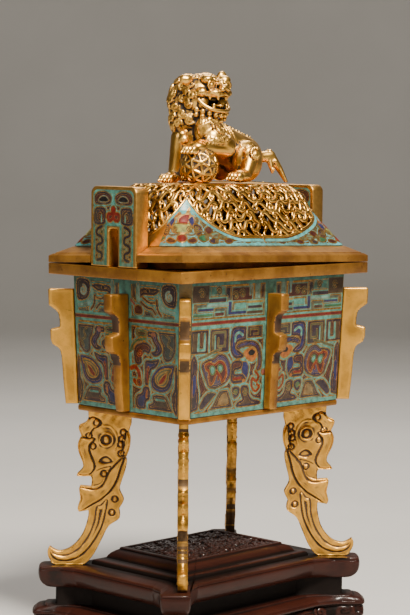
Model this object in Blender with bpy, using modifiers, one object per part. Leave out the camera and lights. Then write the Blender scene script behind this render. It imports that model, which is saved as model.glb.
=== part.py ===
"""Square bronze ding: an enamelled incense burner with gilt flanges, dragon legs, upright ears,
a pierced cover with a lion on top, and its carved wood stand. Metres, +Z up, front is -Y, ears at -X and +X."""

import math

import bmesh
import bpy
from mathutils import Matrix, Vector

MM = 0.001
GAP = 0.0003

# Where the vessel stands on its stand
VESSEL_X = 0.0035
VESSEL_Y = -0.0035

# Vessel
LEG_HEIGHT = 0.1196
LEG_THICKNESS = 0.0082
LEG_RELIEF = 0.0010
LEG_REACH_SHARE = 0.197
BODY_HEIGHT = 0.0990
BODY_FOOT_HALF_X = 0.0881
BODY_FOOT_HALF_Y = 0.0595
BODY_LEAN_X = 0.0029
BODY_LEAN_Y = 0.0035
BODY_TOP_HALF_X = BODY_FOOT_HALF_X + BODY_LEAN_X
BODY_TOP_HALF_Y = BODY_FOOT_HALF_Y + BODY_LEAN_Y
CORNER_FLAT = 0.0067
CORNER_X = BODY_FOOT_HALF_X - CORNER_FLAT / 2
CORNER_Y = BODY_FOOT_HALF_Y - CORNER_FLAT / 2
WALL = 0.003
FLOOR = 0.003
BASE_LEDGE = 0.0005
BASE_THICKNESS = 0.0041
RIM_LEDGE_X = 0.0125
RIM_LEDGE_Y = 0.0081
RIM_HALF_X = BODY_TOP_HALF_X + RIM_LEDGE_X
RIM_HALF_Y = BODY_TOP_HALF_Y + RIM_LEDGE_Y
RIM_THICKNESS = 0.0084
MOUTH_LEDGE = 0.0035
MOUTH_HALF_X = BODY_TOP_HALF_X - MOUTH_LEDGE
MOUTH_HALF_Y = BODY_TOP_HALF_Y - MOUTH_LEDGE
FLANGE_THICKNESS = 0.0082
FLANGE_HEIGHT = 0.0875

# Stand, fitted to the vessel: a tab under each leg, set square to the diagonal
STAND_HALF_X = BODY_FOOT_HALF_X + 0.0064
STAND_HALF_Y = BODY_FOOT_HALF_Y
TAB_MARGIN = 0.0016
TAB_END = (CORNER_X + CORNER_Y) / math.sqrt(2) + LEG_REACH_SHARE * LEG_HEIGHT + TAB_MARGIN
TAB_AXIS = CORNER_X - CORNER_Y
TAB_HALF_WIDTH = 0.0112
FOOT_HEIGHT = 0.010
APRON_HEIGHT = 0.011
LOWER_BOARD = 0.007
WAIST_HEIGHT = 0.0135
UPPER_BOARD = 0.016
WAIST_INSET = 0.013
LOWER_FLARE = 0.006
FIELD_MARGIN_X = 0.0455
FIELD_MARGIN_Y = 0.0265
FIELD_HALF_X = STAND_HALF_X - FIELD_MARGIN_X
FIELD_HALF_Y = STAND_HALF_Y - FIELD_MARGIN_Y
FIELD_RISE = 0.012
FOOT_INSET = 0.0015
FOOT_LENGTH = 0.020
FOOT_DEPTH = 0.012

# Ears
EAR_HALF_WIDTH = 0.0243
EAR_THICKNESS = 0.0125
EAR_HEIGHT = 0.0590
EAR_ROUND = 0.0055
EAR_SLOT_HALF = 0.0050
EAR_SLOT_HEIGHT = 0.0280

# Cover
COVER_EDGE = 0.0053
COVER_SLOPE = 0.0061
COVER_BORDER = 0.0130
COVER_LIFT = 0.0068
COVER_SEAT_LIFT = 0.0003
COVER_LIP_DEPTH = 0.0048
COVER_LIP_CLEARANCE = 0.0012
COVER_LIP_THICKNESS = 0.0023
SHELL_THICKNESS = 0.0024
DOME_THICKNESS = 0.0020
DOME_HEIGHT = 0.0461
PEAK_FRONT = 0.0350
PEAK_SIDE = 0.0265
ENAMEL_LOW = 0.0060
DOME_CELLS = 20
DOME_ROWS = 3
LION_HEIGHT = 0.0860

# Heights worked out from the sizes above
STAND_TOP = FOOT_HEIGHT + APRON_HEIGHT + LOWER_BOARD + WAIST_HEIGHT + UPPER_BOARD
LEG_Z = STAND_TOP + GAP
BASE_Z = LEG_Z + LEG_HEIGHT + GAP
BODY_Z = BASE_Z + BASE_THICKNESS + GAP
RIM_Z = BODY_Z + BODY_HEIGHT + GAP
RIM_TOP = RIM_Z + RIM_THICKNESS
COVER_Z = RIM_TOP + COVER_SEAT_LIFT
SHELL_Z = COVER_Z + COVER_EDGE + COVER_SLOPE
LION_Z = SHELL_Z + DOME_HEIGHT + COVER_LIFT / 2 + GAP


def clear_scene():
    for thing in list(bpy.data.objects):
        bpy.data.objects.remove(thing)


def make_collection(name):
    collection = bpy.data.collections.new(name)
    bpy.context.scene.collection.children.link(collection)
    return collection


def make_material(name, colour, roughness, metallic):
    material = bpy.data.materials.new(name)
    material.use_nodes = True
    shader = material.node_tree.nodes["Principled BSDF"]
    shader.inputs["Base Color"].default_value = (*colour, 1.0)
    shader.inputs["Roughness"].default_value = roughness
    shader.inputs["Metallic"].default_value = metallic
    return material


def place_vessel(x, y, z):
    """A point of the vessel, from its own axis to the world."""
    return Vector((VESSEL_X + x, VESSEL_Y + y, z))


def add_mesh(name, mesh, material, collection):
    thing = bpy.data.objects.new(name, mesh)
    mesh.materials.clear()
    mesh.materials.append(material)
    collection.objects.link(thing)
    return thing


def evaluated_mesh(thing):
    bpy.context.view_layer.update()
    graph = bpy.context.evaluated_depsgraph_get()
    mesh = bpy.data.meshes.new_from_object(thing.evaluated_get(graph))
    mesh.transform(thing.matrix_world)
    return mesh


def mesh_from_bmesh(name, build):
    bmesh.ops.recalc_face_normals(build, faces=build.faces)
    mesh = bpy.data.meshes.new(name)
    build.to_mesh(mesh)
    build.free()
    return mesh


def weld(mesh, distance=1e-6):
    build = bmesh.new()
    build.from_mesh(mesh)
    bmesh.ops.remove_doubles(build, verts=build.verts, dist=distance)
    bmesh.ops.recalc_face_normals(build, faces=build.faces)
    build.to_mesh(mesh)
    build.free()
    return mesh


def flat_shape(points, thickness, corners=(), smooth=0, scale=1.0):
    """A mesh in the XZ plane from an outline of (across, height) points, centred on Y = 0.
    The points named in corners keep a sharp corner when the outline is smooth."""
    curve = bpy.data.curves.new("outline", "CURVE")
    curve.dimensions = "2D"
    curve.fill_mode = "BOTH"
    curve.extrude = thickness / 2
    curve.resolution_u = max(smooth, 1)
    curve.render_resolution_u = max(smooth, 1)
    spline = curve.splines.new("BEZIER" if smooth else "POLY")
    if smooth:
        spline.bezier_points.add(len(points) - 1)
        for index, (across, height) in enumerate(points):
            point = spline.bezier_points[index]
            point.co = (across * scale, height * scale, 0)
            kind = "VECTOR" if index in corners else "AUTO"
            point.handle_left_type = kind
            point.handle_right_type = kind
    else:
        spline.points.add(len(points) - 1)
        for index, (across, height) in enumerate(points):
            spline.points[index].co = (across * scale, height * scale, 0, 1)
    spline.use_cyclic_u = True
    holder = bpy.data.objects.new("outline", curve)
    bpy.context.scene.collection.objects.link(holder)
    mesh = evaluated_mesh(holder)
    bpy.data.objects.remove(holder)
    mesh.transform(Matrix.Rotation(math.pi / 2, 4, "X"))
    return weld(mesh)


def combine(meshes, operation="UNION"):
    """One mesh from a first mesh and others joined to it or cut from it."""
    base = bpy.data.objects.new("base", meshes[0])
    bpy.context.scene.collection.objects.link(base)
    tools = []
    for mesh in meshes[1:]:
        tool = bpy.data.objects.new("tool", mesh)
        bpy.context.scene.collection.objects.link(tool)
        modifier = base.modifiers.new("combine", "BOOLEAN")
        modifier.operation = operation
        modifier.solver = "EXACT"
        modifier.object = tool
        tools.append(tool)
    result = evaluated_mesh(base)
    for thing in [base, *tools]:
        bpy.data.objects.remove(thing)
    return weld(result)


def box_mesh(low, high):
    build = bmesh.new()
    bmesh.ops.create_cube(build, size=1.0)
    size = Vector(high) - Vector(low)
    centre = (Vector(high) + Vector(low)) / 2
    bmesh.ops.scale(build, vec=size, verts=build.verts)
    bmesh.ops.translate(build, vec=centre, verts=build.verts)
    return mesh_from_bmesh("box", build)


def loft(rings, close=False):
    """A solid through rings of points with equal counts: capped at both ends, or closed on itself."""
    build = bmesh.new()
    rows = [[build.verts.new(point) for point in ring] for ring in rings]
    count = len(rows[0])
    pairs = list(zip(rows, rows[1:]))
    if close:
        pairs.append((rows[-1], rows[0]))
    for lower, upper in pairs:
        for index in range(count):
            after = (index + 1) % count
            build.faces.new((lower[index], lower[after], upper[after], upper[index]))
    if not close:
        build.faces.new(list(reversed(rows[0])))
        build.faces.new(rows[-1])
    return mesh_from_bmesh("loft", build)


def rectangle(half_x, half_y, z, flat=0.0):
    """A ring of vessel points: a rectangle, with its corners cut by legs of length flat."""
    if flat == 0:
        corners = [(-half_x, -half_y), (half_x, -half_y), (half_x, half_y), (-half_x, half_y)]
    else:
        cut_x = half_x - flat
        cut_y = half_y - flat
        corners = [(-cut_x, -half_y), (cut_x, -half_y), (half_x, -cut_y), (half_x, cut_y)]
        corners += [(cut_x, half_y), (-cut_x, half_y), (-half_x, cut_y), (-half_x, -cut_y)]
    return [place_vessel(x, y, z) for x, y in corners]


def tab_outline(inset, half_width):
    """The stand's plan, with a tab at each corner set square to the diagonal: one quarter, then mirrored."""
    half_x = STAND_HALF_X - inset
    half_y = STAND_HALF_Y - inset
    end = TAB_END - 1.03 * inset
    across = TAB_AXIS / math.sqrt(2)

    def diagonal(along, side):
        return Vector(((along + side) / math.sqrt(2), (along - side) / math.sqrt(2)))

    root_x = Vector((half_x, half_x - math.sqrt(2) * (across + half_width * 1.42)))
    root_y = Vector((half_y + math.sqrt(2) * (across - half_width * 1.42), half_y))
    tip_x = diagonal(end, across + half_width)
    tip_y = diagonal(end, across - half_width)
    ease = 0.13 * half_width
    cusp = 0.12 * half_width
    quarter = [root_x + Vector((0, -4 * cusp)), root_x + Vector((cusp, cusp))]
    quarter += [root_x.lerp(tip_x, 0.5) + Vector((-ease, ease))]
    quarter += [tip_x.lerp(tip_y, 0.12), tip_y.lerp(tip_x, 0.12)]
    quarter += [root_y.lerp(tip_y, 0.5) + Vector((ease, -ease))]
    quarter += [root_y + Vector((cusp, cusp)), root_y + Vector((-4 * cusp, 0))]
    ring = [Vector((point.x, point.y)) for point in quarter]
    ring += [Vector((-point.x, point.y)) for point in reversed(quarter)]
    ring += [Vector((-point.x, -point.y)) for point in quarter]
    ring += [Vector((point.x, -point.y)) for point in reversed(quarter)]
    return ring


def field_outline(half_x, half_y, count):
    """A rectangle with as many points as the stand's plan, spread by the same order."""
    corner_share = count // 4
    ring = []
    for sign_x, sign_y in ((1, 1), (-1, 1), (-1, -1), (1, -1)):
        quarter = []
        for step in range(corner_share):
            share = (step + 0.5) / corner_share
            if share < 0.5:
                quarter.append(Vector((half_x, half_y * (0.55 + 0.9 * share))))
            else:
                quarter.append(Vector((half_x * (1 - 0.9 * (share - 0.5)), half_y)))
        if sign_x * sign_y < 0:
            quarter.reverse()
        ring += [Vector((sign_x * point.x, sign_y * point.y)) for point in quarter]
    return ring


def stand_mesh():
    """The stand turned out of one loft: apron, lower board, waist, upper board and the raised field."""
    levels = []
    z = FOOT_HEIGHT
    levels.append((-LOWER_FLARE * 0.5, TAB_HALF_WIDTH * 1.1, z))
    levels.append((-LOWER_FLARE * 0.9, TAB_HALF_WIDTH * 1.2, z + APRON_HEIGHT * 0.4))
    z += APRON_HEIGHT
    levels.append((-LOWER_FLARE * 0.5, TAB_HALF_WIDTH * 1.1, z))
    levels.append((-LOWER_FLARE, TAB_HALF_WIDTH * 1.2, z + LOWER_BOARD * 0.2))
    z += LOWER_BOARD
    levels.append((0.005, TAB_HALF_WIDTH * 0.9, z))
    levels.append((WAIST_INSET, TAB_HALF_WIDTH * 0.7, z))
    z += WAIST_HEIGHT
    levels.append((WAIST_INSET, TAB_HALF_WIDTH * 0.7, z))
    levels.append((0.0042, TAB_HALF_WIDTH * 0.85, z + UPPER_BOARD * 0.12))
    levels.append((0.0012, TAB_HALF_WIDTH * 0.95, z + UPPER_BOARD * 0.32))
    levels.append((0, TAB_HALF_WIDTH, z + UPPER_BOARD * 0.65))
    levels.append((0.0003, TAB_HALF_WIDTH, z + UPPER_BOARD * 0.92))
    levels.append((0.0013, TAB_HALF_WIDTH * 0.93, STAND_TOP))
    rings = []
    for inset, half_width, height in levels:
        rings.append([Vector((p.x, p.y, height)) for p in tab_outline(inset, half_width)])
    count = len(rings[0])
    shelf_x = FIELD_HALF_X + 0.024
    shelf_y = FIELD_HALF_Y + 0.014
    steps = [(shelf_x, shelf_y, 0), (shelf_x - 0.001, shelf_y - 0.001, 0.0035)]
    steps += [(FIELD_HALF_X + 0.011, FIELD_HALF_Y + 0.007, 0.0055)]
    steps += [(FIELD_HALF_X + 0.0035, FIELD_HALF_Y + 0.0025, FIELD_RISE)]
    steps += [(FIELD_HALF_X, FIELD_HALF_Y, FIELD_RISE), (FIELD_HALF_X - 0.001, FIELD_HALF_Y - 0.001, FIELD_RISE - 0.0012)]
    for half_x, half_y, rise in steps:
        outline = field_outline(half_x, half_y, count)
        rings.append([Vector((p.x, p.y, STAND_TOP + rise)) for p in outline])
    return loft(rings)


def stand_foot(sign_x, sign_y):
    """A bracket foot under one corner and its tab."""
    outline = tab_outline(FOOT_INSET, TAB_HALF_WIDTH * 0.95)
    corner = outline[:len(outline) // 4]
    corner += [Vector((corner[-1].x - FOOT_LENGTH, corner[-1].y))]
    corner += [Vector((corner[-1].x, corner[-1].y - FOOT_DEPTH)), Vector((corner[0].x - FOOT_DEPTH, corner[0].y - FOOT_LENGTH))]
    corner += [Vector((corner[0].x, corner[0].y - FOOT_LENGTH))]
    rings = []
    for spread, height in ((0.97, 0.0), (1.0, FOOT_HEIGHT * 0.5), (1.0, FOOT_HEIGHT + 0.003)):
        rings.append([Vector((sign_x * p.x * spread, sign_y * p.y * spread, height)) for p in corner])
    return loft(rings)


def add_stand(material, collection):
    feet = [stand_foot(sign_x, sign_y) for sign_x in (-1, 1) for sign_y in (-1, 1)]
    return add_mesh("wooden_stand", combine([stand_mesh(), *feet]), material, collection)


def add_base(material, collection):
    rings = []
    for inset, rise in ((0.0006, 0), (0, 0.0008), (0, BASE_THICKNESS - 0.0008), (0.0004, BASE_THICKNESS)):
        ledge = BASE_LEDGE - inset
        half_x, half_y = BODY_FOOT_HALF_X + ledge, BODY_FOOT_HALF_Y + ledge
        rings.append(rectangle(half_x, half_y, BASE_Z + rise, CORNER_FLAT))
    return add_mesh("base_plate", loft(rings), material, collection)


def add_body(material, collection):
    """The tapered enamelled box: walls of one thickness on a floor, open at the top."""
    inner_flat = CORNER_FLAT - WALL * (2 - math.sqrt(2))
    share = FLOOR / BODY_HEIGHT
    floor_x = BODY_FOOT_HALF_X + (BODY_TOP_HALF_X - BODY_FOOT_HALF_X) * share
    floor_y = BODY_FOOT_HALF_Y + (BODY_TOP_HALF_Y - BODY_FOOT_HALF_Y) * share
    rings = [rectangle(BODY_FOOT_HALF_X, BODY_FOOT_HALF_Y, BODY_Z, CORNER_FLAT)]
    rings.append(rectangle(BODY_TOP_HALF_X, BODY_TOP_HALF_Y, BODY_Z + BODY_HEIGHT, CORNER_FLAT))
    rings.append(rectangle(BODY_TOP_HALF_X - WALL, BODY_TOP_HALF_Y - WALL, BODY_Z + BODY_HEIGHT, inner_flat))
    rings.append(rectangle(floor_x - WALL, floor_y - WALL, BODY_Z + FLOOR, inner_flat))
    return add_mesh("vessel_body", loft(rings), material, collection)


def add_rim(material, collection):
    bevel = 0.0004
    rings = [rectangle(MOUTH_HALF_X, MOUTH_HALF_Y, RIM_Z)]
    rings.append(rectangle(RIM_HALF_X - bevel, RIM_HALF_Y - bevel, RIM_Z))
    rings.append(rectangle(RIM_HALF_X, RIM_HALF_Y, RIM_Z + bevel))
    rings.append(rectangle(RIM_HALF_X, RIM_HALF_Y, RIM_TOP - bevel))
    rings.append(rectangle(RIM_HALF_X - bevel, RIM_HALF_Y - bevel, RIM_TOP))
    rings.append(rectangle(MOUTH_HALF_X, MOUTH_HALF_Y, RIM_TOP))
    return add_mesh("rim_plate", loft(rings, close=True), material, collection)


def flange_outline(nose, neck, foot, lean):
    """A hooked flange from its foot up: two square noses over a slim stem. The back edge leans with the wall."""
    top = FLANGE_HEIGHT
    stem = [(foot, 0.0), (neck * 0.92, top * 0.20), (neck * 0.95, top * 0.355), (neck, top * 0.435)]
    stem += [(neck * 1.12, top * 0.483), (nose * 0.93, top * 0.518), (nose, top * 0.566), (nose, top * 0.645)]
    stem += [(neck * 1.02, top * 0.667), (neck, top * 0.707), (neck * 1.05, top * 0.776), (neck * 1.22, top * 0.815)]
    stem += [(nose * 1.02, top * 0.861), (nose * 1.02, top * 0.993), (nose * 0.97, top)]
    outline = [(across + lean * height, height) for across, height in stem]
    return outline + [(lean * top, top), (0.0, 0.0)]


def add_flange(name, foot_point, direction, sizes, lean, material, collection):
    """A flange plate standing off the wall at foot_point, pointing along direction."""
    nose, neck, foot = sizes
    mesh = flat_shape(flange_outline(nose, neck, foot, lean), FLANGE_THICKNESS)
    angle = math.atan2(direction[1], direction[0])
    place = Matrix.Translation(foot_point) @ Matrix.Rotation(angle, 4, "Z")
    mesh.transform(place)
    return add_mesh(name, mesh, material, collection)


def add_flanges(material, collection):
    z = BODY_Z + 0.0004
    rise = BODY_HEIGHT
    lean_x = (BODY_TOP_HALF_X - BODY_FOOT_HALF_X) / rise
    lean_y = (BODY_TOP_HALF_Y - BODY_FOOT_HALF_Y) / rise
    lean_corner = (lean_x + lean_y) / math.sqrt(2)
    sides = {"left": (-1, 1), "front": (-1, -1), "right": (1, -1), "back": (1, 1)}
    for side, (sign_x, sign_y) in sides.items():
        point = place_vessel(sign_x * (CORNER_X + GAP), sign_y * (CORNER_Y + GAP), z)
        direction = (sign_x, sign_y)
        add_flange(f"corner_flange_{side}", point, direction, CORNER_FLANGE, lean_corner, material, collection)
    for name, sign in (("ear_side_flange_left", -1), ("ear_side_flange_right", 1)):
        point = place_vessel(sign * (BODY_FOOT_HALF_X + GAP), 0, z)
        add_flange(name, point, (sign, 0), SHORT_SIDE_FLANGE, lean_x, material, collection)
    for name, sign in (("long_side_flange_front", -1), ("long_side_flange_back", 1)):
        point = place_vessel(0, sign * (BODY_FOOT_HALF_Y + GAP), z)
        add_flange(name, point, (0, sign), LONG_SIDE_FLANGE, lean_y, material, collection)


# Flanges: how far the noses, the stem and the foot stand off the wall
CORNER_FLANGE = (0.0192, 0.0118, 0.0098)
SHORT_SIDE_FLANGE = (0.0182, 0.0102, 0.0076)
LONG_SIDE_FLANGE = (0.0150, 0.0084, 0.0073)

# Dragon leg, as shares of its height: outward from the base's corner, and up
LEG_OUTLINE = [
    (-0.058, 1.0), (-0.060, 0.950), (-0.042, 0.920), (-0.002, 0.901), (0.000, 0.875), (-0.017, 0.831),
    (-0.006, 0.819), (0.008, 0.779), (0.001, 0.727), (-0.025, 0.660), (-0.022, 0.623), (0.012, 0.585),
    (-0.003, 0.574), (-0.074, 0.575), (-0.083, 0.556), (-0.078, 0.504), (-0.008, 0.510), (-0.002, 0.489),
    (-0.009, 0.429), (0.007, 0.370), (-0.002, 0.344), (-0.063, 0.355), (-0.060, 0.310), (-0.035, 0.221),
    (0.005, 0.153), (0.057, 0.105), (0.115, 0.084), (0.153, 0.092), (0.186, 0.115), (0.197, 0.091),
    (0.193, 0.054), (0.167, 0.009), (0.138, 0.0), (-0.010, 0.0), (-0.047, 0.011), (-0.099, 0.071),
    (-0.150, 0.169), (-0.193, 0.252), (-0.255, 0.297), (-0.265, 0.327), (-0.258, 0.365), (-0.284, 0.409),
    (-0.287, 0.431), (-0.266, 0.476), (-0.265, 0.513), (-0.298, 0.618), (-0.307, 0.671), (-0.300, 0.699),
    (-0.309, 0.714), (-0.326, 0.767), (-0.329, 0.826), (-0.318, 0.863), (-0.329, 0.900), (-0.335, 0.922),
    (-0.335, 1.0),
]
LEG_CORNERS = {0, 1, 5, 13, 15, 16, 20, 21, 28, 32, 33, 40, 47, 51, 54}
LEG_FIN = [
    (-0.283, 0.691), (-0.240, 0.551), (-0.202, 0.483), (-0.140, 0.426), (-0.064, 0.380), (-0.006, 0.352),
    (-0.003, 0.387), (-0.018, 0.436), (-0.015, 0.500), (-0.098, 0.485), (-0.150, 0.515), (-0.194, 0.599),
]
LEG_FIN_CORNERS = {0, 5, 8}
LEG_SIDE_LOBE = [
    (-0.018, 0.812), (-0.090, 0.812), (-0.065, 0.760), (-0.083, 0.690), (-0.095, 0.648), (-0.088, 0.613),
    (-0.063, 0.584), (0.002, 0.592), (-0.030, 0.635), (-0.006, 0.727), (0.001, 0.775),
]
LEG_SIDE_LOBE_CORNERS = {0, 1, 7}
LEG_BACK_LOBE = [
    (-0.300, 0.862), (-0.321, 0.826), (-0.319, 0.770), (-0.304, 0.712), (-0.277, 0.719), (-0.290, 0.768),
    (-0.284, 0.804), (-0.297, 0.830),
]
LEG_BACK_LOBE_CORNERS = {0, 3}
LEG_TAIL_RIB = [
    (-0.181, 0.415), (-0.115, 0.366), (-0.099, 0.275), (-0.058, 0.176), (0.005, 0.097), (0.081, 0.058),
    (0.151, 0.068), (0.172, 0.092), (0.164, 0.058), (0.132, 0.033), (0.074, 0.026), (-0.009, 0.055),
    (-0.079, 0.126), (-0.141, 0.232), (-0.168, 0.324),
]
LEG_TAIL_RIB_CORNERS = {0, 1, 7}
LEG_STUDS = [
    (-0.113, 0.921), (-0.090, 0.768), (-0.276, 0.800), (-0.232, 0.427), (-0.213, 0.339),
]
LEG_STUD = 0.0017
LEG_EYE_SHARES = (-0.174, 0.810)
LEG_EYE = 0.0058

# How much each leg bends inwards over its height, as the old mounts have settled
LEG_BEND = {"left": 0.0, "front": 0.035, "right": 0.072, "back": 0.035}

# Cover: inset and height of the rings between the border and the crown, as shares, and their squareness
COVER_SPAN = 0.029
COVER_RINGS = [
    (0.0, 0.0, 60.0), (0.155, 0.187, 20.0), (0.293, 0.375, 9.0), (0.397, 0.557, 5.5),
    (0.483, 0.733, 4.5), (0.586, 0.863, 4.0), (0.759, 0.957, 3.5), (1.0, 1.0, 3.2),
]
QUARTER_SHORT = 2
QUARTER_LONG = 3
HOLE = [(0.24, 0.13), (0.72, 0.11), (0.90, 0.44), (0.76, 0.87), (0.30, 0.89), (0.10, 0.54)]
CELL_SLANT = 0.45
CELL_BULGE = 0.10


def stud_mesh(across, height, radius, reach):
    """A small domed stud through the leg, standing out on both faces."""
    build = bmesh.new()
    bmesh.ops.create_uvsphere(build, u_segments=6, v_segments=3, radius=1.0)
    bmesh.ops.scale(build, vec=(radius, reach, radius), verts=build.verts)
    bmesh.ops.rotate(build, matrix=Matrix.Rotation(0.3, 3, "Y"), verts=build.verts)
    bmesh.ops.translate(build, vec=(across, 0, height), verts=build.verts)
    return mesh_from_bmesh("stud", build)


def leg_mesh():
    """A flat dragon in profile: the plate, its raised fin, lobes and tail rib, and its studs and eye."""
    plate = LEG_THICKNESS - 2 * LEG_RELIEF
    full = LEG_THICKNESS
    parts = [flat_shape(LEG_OUTLINE, plate, LEG_CORNERS, 1, LEG_HEIGHT)]
    parts.append(flat_shape(LEG_SIDE_LOBE, full - LEG_RELIEF * 0.6, LEG_SIDE_LOBE_CORNERS, 1, LEG_HEIGHT))
    parts.append(flat_shape(LEG_BACK_LOBE, full - LEG_RELIEF * 0.8, LEG_BACK_LOBE_CORNERS, 1, LEG_HEIGHT))
    parts.append(flat_shape(LEG_TAIL_RIB, full - LEG_RELIEF * 0.5, LEG_TAIL_RIB_CORNERS, 1, LEG_HEIGHT))
    parts.append(flat_shape(LEG_FIN, full, LEG_FIN_CORNERS, 1, LEG_HEIGHT))
    for across, height in LEG_STUDS:
        reach = full / 2 + LEG_RELIEF * 0.2
        parts.append(stud_mesh(across * LEG_HEIGHT, height * LEG_HEIGHT, LEG_STUD, reach))
    across, height = LEG_EYE_SHARES
    parts.append(stud_mesh(across * LEG_HEIGHT, height * LEG_HEIGHT, LEG_EYE, full / 2 - LEG_RELIEF * 0.1))
    return combine(parts)


def add_legs(material, collection):
    pattern = leg_mesh()
    sides = {"left": (-1, 1), "front": (-1, -1), "right": (1, -1), "back": (1, 1)}
    for side, (sign_x, sign_y) in sides.items():
        mesh = pattern.copy()
        for vertex in mesh.vertices:
            vertex.co.x -= LEG_BEND[side] * (LEG_HEIGHT - vertex.co.z)
        angle = math.atan2(sign_y, sign_x)
        point = place_vessel(sign_x * CORNER_X, sign_y * CORNER_Y, LEG_Z)
        mesh.transform(Matrix.Translation(point) @ Matrix.Rotation(angle, 4, "Z"))
        add_mesh(f"dragon_leg_{side}", mesh, material, collection)


def ear_outline():
    """An upright ear with rounded shoulders over a slot that is open below."""
    arc = 4
    points = [(-EAR_HALF_WIDTH, 0.0)]
    for side in (-1, 1):
        for step in range(arc + 1):
            turn = math.pi / 2 * step / arc
            swing = turn if side < 0 else math.pi / 2 - turn
            across = side * (EAR_HALF_WIDTH - EAR_ROUND + EAR_ROUND * math.cos(swing))
            points.append((across, EAR_HEIGHT - EAR_ROUND + EAR_ROUND * math.sin(swing)))
    points.append((EAR_HALF_WIDTH, 0.0))
    points += [(EAR_SLOT_HALF, 0.0), (EAR_SLOT_HALF, EAR_SLOT_HEIGHT)]
    points += [(-EAR_SLOT_HALF, EAR_SLOT_HEIGHT), (-EAR_SLOT_HALF, 0.0)]
    return points


def add_ears(material, collection):
    for name, sign in (("ear_left", -1), ("ear_right", 1)):
        mesh = flat_shape(ear_outline(), EAR_THICKNESS)
        point = place_vessel(sign * (RIM_HALF_X - EAR_THICKNESS / 2), 0, RIM_TOP + GAP)
        mesh.transform(Matrix.Translation(point) @ Matrix.Rotation(math.pi / 2, 4, "Z"))
        add_mesh(name, mesh, material, collection)


def cover_lift(x, y):
    """How far the old, twisted cover stands up at a place: none at the ear-side corners in view."""
    return COVER_LIFT / 2 * (1 + x * y / (RIM_HALF_X * RIM_HALF_Y))


def cover_point(x, y, z):
    return place_vessel(x, y, z + cover_lift(x, y))


def cover_ring(half_x, half_y, z):
    corners = [(-half_x, -half_y), (half_x, -half_y), (half_x, half_y), (-half_x, half_y)]
    return [cover_point(x, y, z) for x, y in corners]


def add_cover_frame(material, collection):
    """The cover's gilt frame: an edge, a sloped border, a shelf for the shell and a lip in the mouth."""
    edge_top = COVER_Z + COVER_EDGE
    shelf = SHELL_Z - GAP
    shelf_under = shelf - 0.003
    border_x = RIM_HALF_X - COVER_BORDER
    border_y = RIM_HALF_Y - COVER_BORDER
    lip_x = MOUTH_HALF_X - COVER_LIP_CLEARANCE
    lip_y = MOUTH_HALF_Y - COVER_LIP_CLEARANCE
    inner_x = lip_x - COVER_LIP_THICKNESS
    inner_y = lip_y - COVER_LIP_THICKNESS
    shelf_x = border_x - 0.0085
    shelf_y = border_y - 0.0050
    rings = [cover_ring(RIM_HALF_X, RIM_HALF_Y, COVER_Z), cover_ring(RIM_HALF_X, RIM_HALF_Y, edge_top)]
    rings += [cover_ring(border_x, border_y, shelf), cover_ring(shelf_x, shelf_y, shelf)]
    rings += [cover_ring(shelf_x, shelf_y, shelf_under), cover_ring(inner_x, inner_y, shelf_under)]
    rings += [cover_ring(inner_x, inner_y, COVER_Z - COVER_LIP_DEPTH)]
    rings += [cover_ring(lip_x, lip_y, COVER_Z - COVER_LIP_DEPTH), cover_ring(lip_x, lip_y, COVER_Z)]
    frame = loft(rings, close=True)
    notches = [frame]
    for sign in (-1, 1):
        near = sign * (RIM_HALF_X - EAR_THICKNESS - GAP)
        far = sign * (RIM_HALF_X + 0.01)
        half = EAR_HALF_WIDTH + GAP
        low = place_vessel(min(near, far), -half, COVER_Z - 0.002)
        high = place_vessel(max(near, far), half, SHELL_Z + 0.02)
        notches.append(box_mesh(low, high))
    return add_mesh("cover_frame", combine(notches, "DIFFERENCE"), material, collection)


def direction_at(column):
    """A direction across the cover for a column counted from the right side's middle, corners on whole columns."""
    quarter_columns = QUARTER_SHORT + QUARTER_LONG
    quarter = int(math.floor(column / quarter_columns)) % 4
    step = column - math.floor(column / quarter_columns) * quarter_columns
    if quarter % 2:
        step = quarter_columns - step
    if step <= QUARTER_SHORT:
        across, along = 1.0, step / QUARTER_SHORT
    else:
        across, along = (quarter_columns - step) / QUARTER_LONG, 1.0
    sign_x = 1 if quarter in (0, 3) else -1
    sign_y = 1 if quarter in (0, 1) else -1
    return sign_x * across, sign_y * along


def cover_profile(level):
    """Inset, height and squareness at a level from 0 at the border to 1 at the crown."""
    place = min(max(level, 0.0), 1.0) * (len(COVER_RINGS) - 1)
    index = min(int(place), len(COVER_RINGS) - 2)
    share = place - index
    low, high = COVER_RINGS[index], COVER_RINGS[index + 1]
    inset, rise, square = (a + (b - a) * share for a, b in zip(low, high))
    return inset * COVER_SPAN, rise * DOME_HEIGHT, square


def level_at_rise(rise):
    for index in range(len(COVER_RINGS) - 1):
        low = COVER_RINGS[index][1] * DOME_HEIGHT
        high = COVER_RINGS[index + 1][1] * DOME_HEIGHT
        if rise <= high:
            return (index + (rise - low) / (high - low)) / (len(COVER_RINGS) - 1)
    return 1.0


def border_rise(column):
    """Height of the ogee line where the enamel meets the pierced dome: low at the sides, high at the corners."""
    along_x, along_y = direction_at(column)
    share = min(abs(along_x), abs(along_y))
    peak = PEAK_FRONT if along_x * along_y > 0 else PEAK_SIDE
    climb = max(0.0, (share - 0.25) / 0.75) ** 1.6
    return ENAMEL_LOW + (peak - ENAMEL_LOW) * climb


def cover_surface(column, level, inward=0.0):
    """A point of the cover's outer surface, or of one set inward across."""
    inset, rise, square = cover_profile(level)
    along_x, along_y = direction_at(column)
    size = (abs(along_x) ** square + abs(along_y) ** square) ** (-1 / square)
    half_x = RIM_HALF_X - COVER_BORDER - inset - inward
    half_y = RIM_HALF_Y - COVER_BORDER - inset - inward
    return cover_point(half_x * along_x * size, half_y * along_y * size, SHELL_Z + rise)


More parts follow.
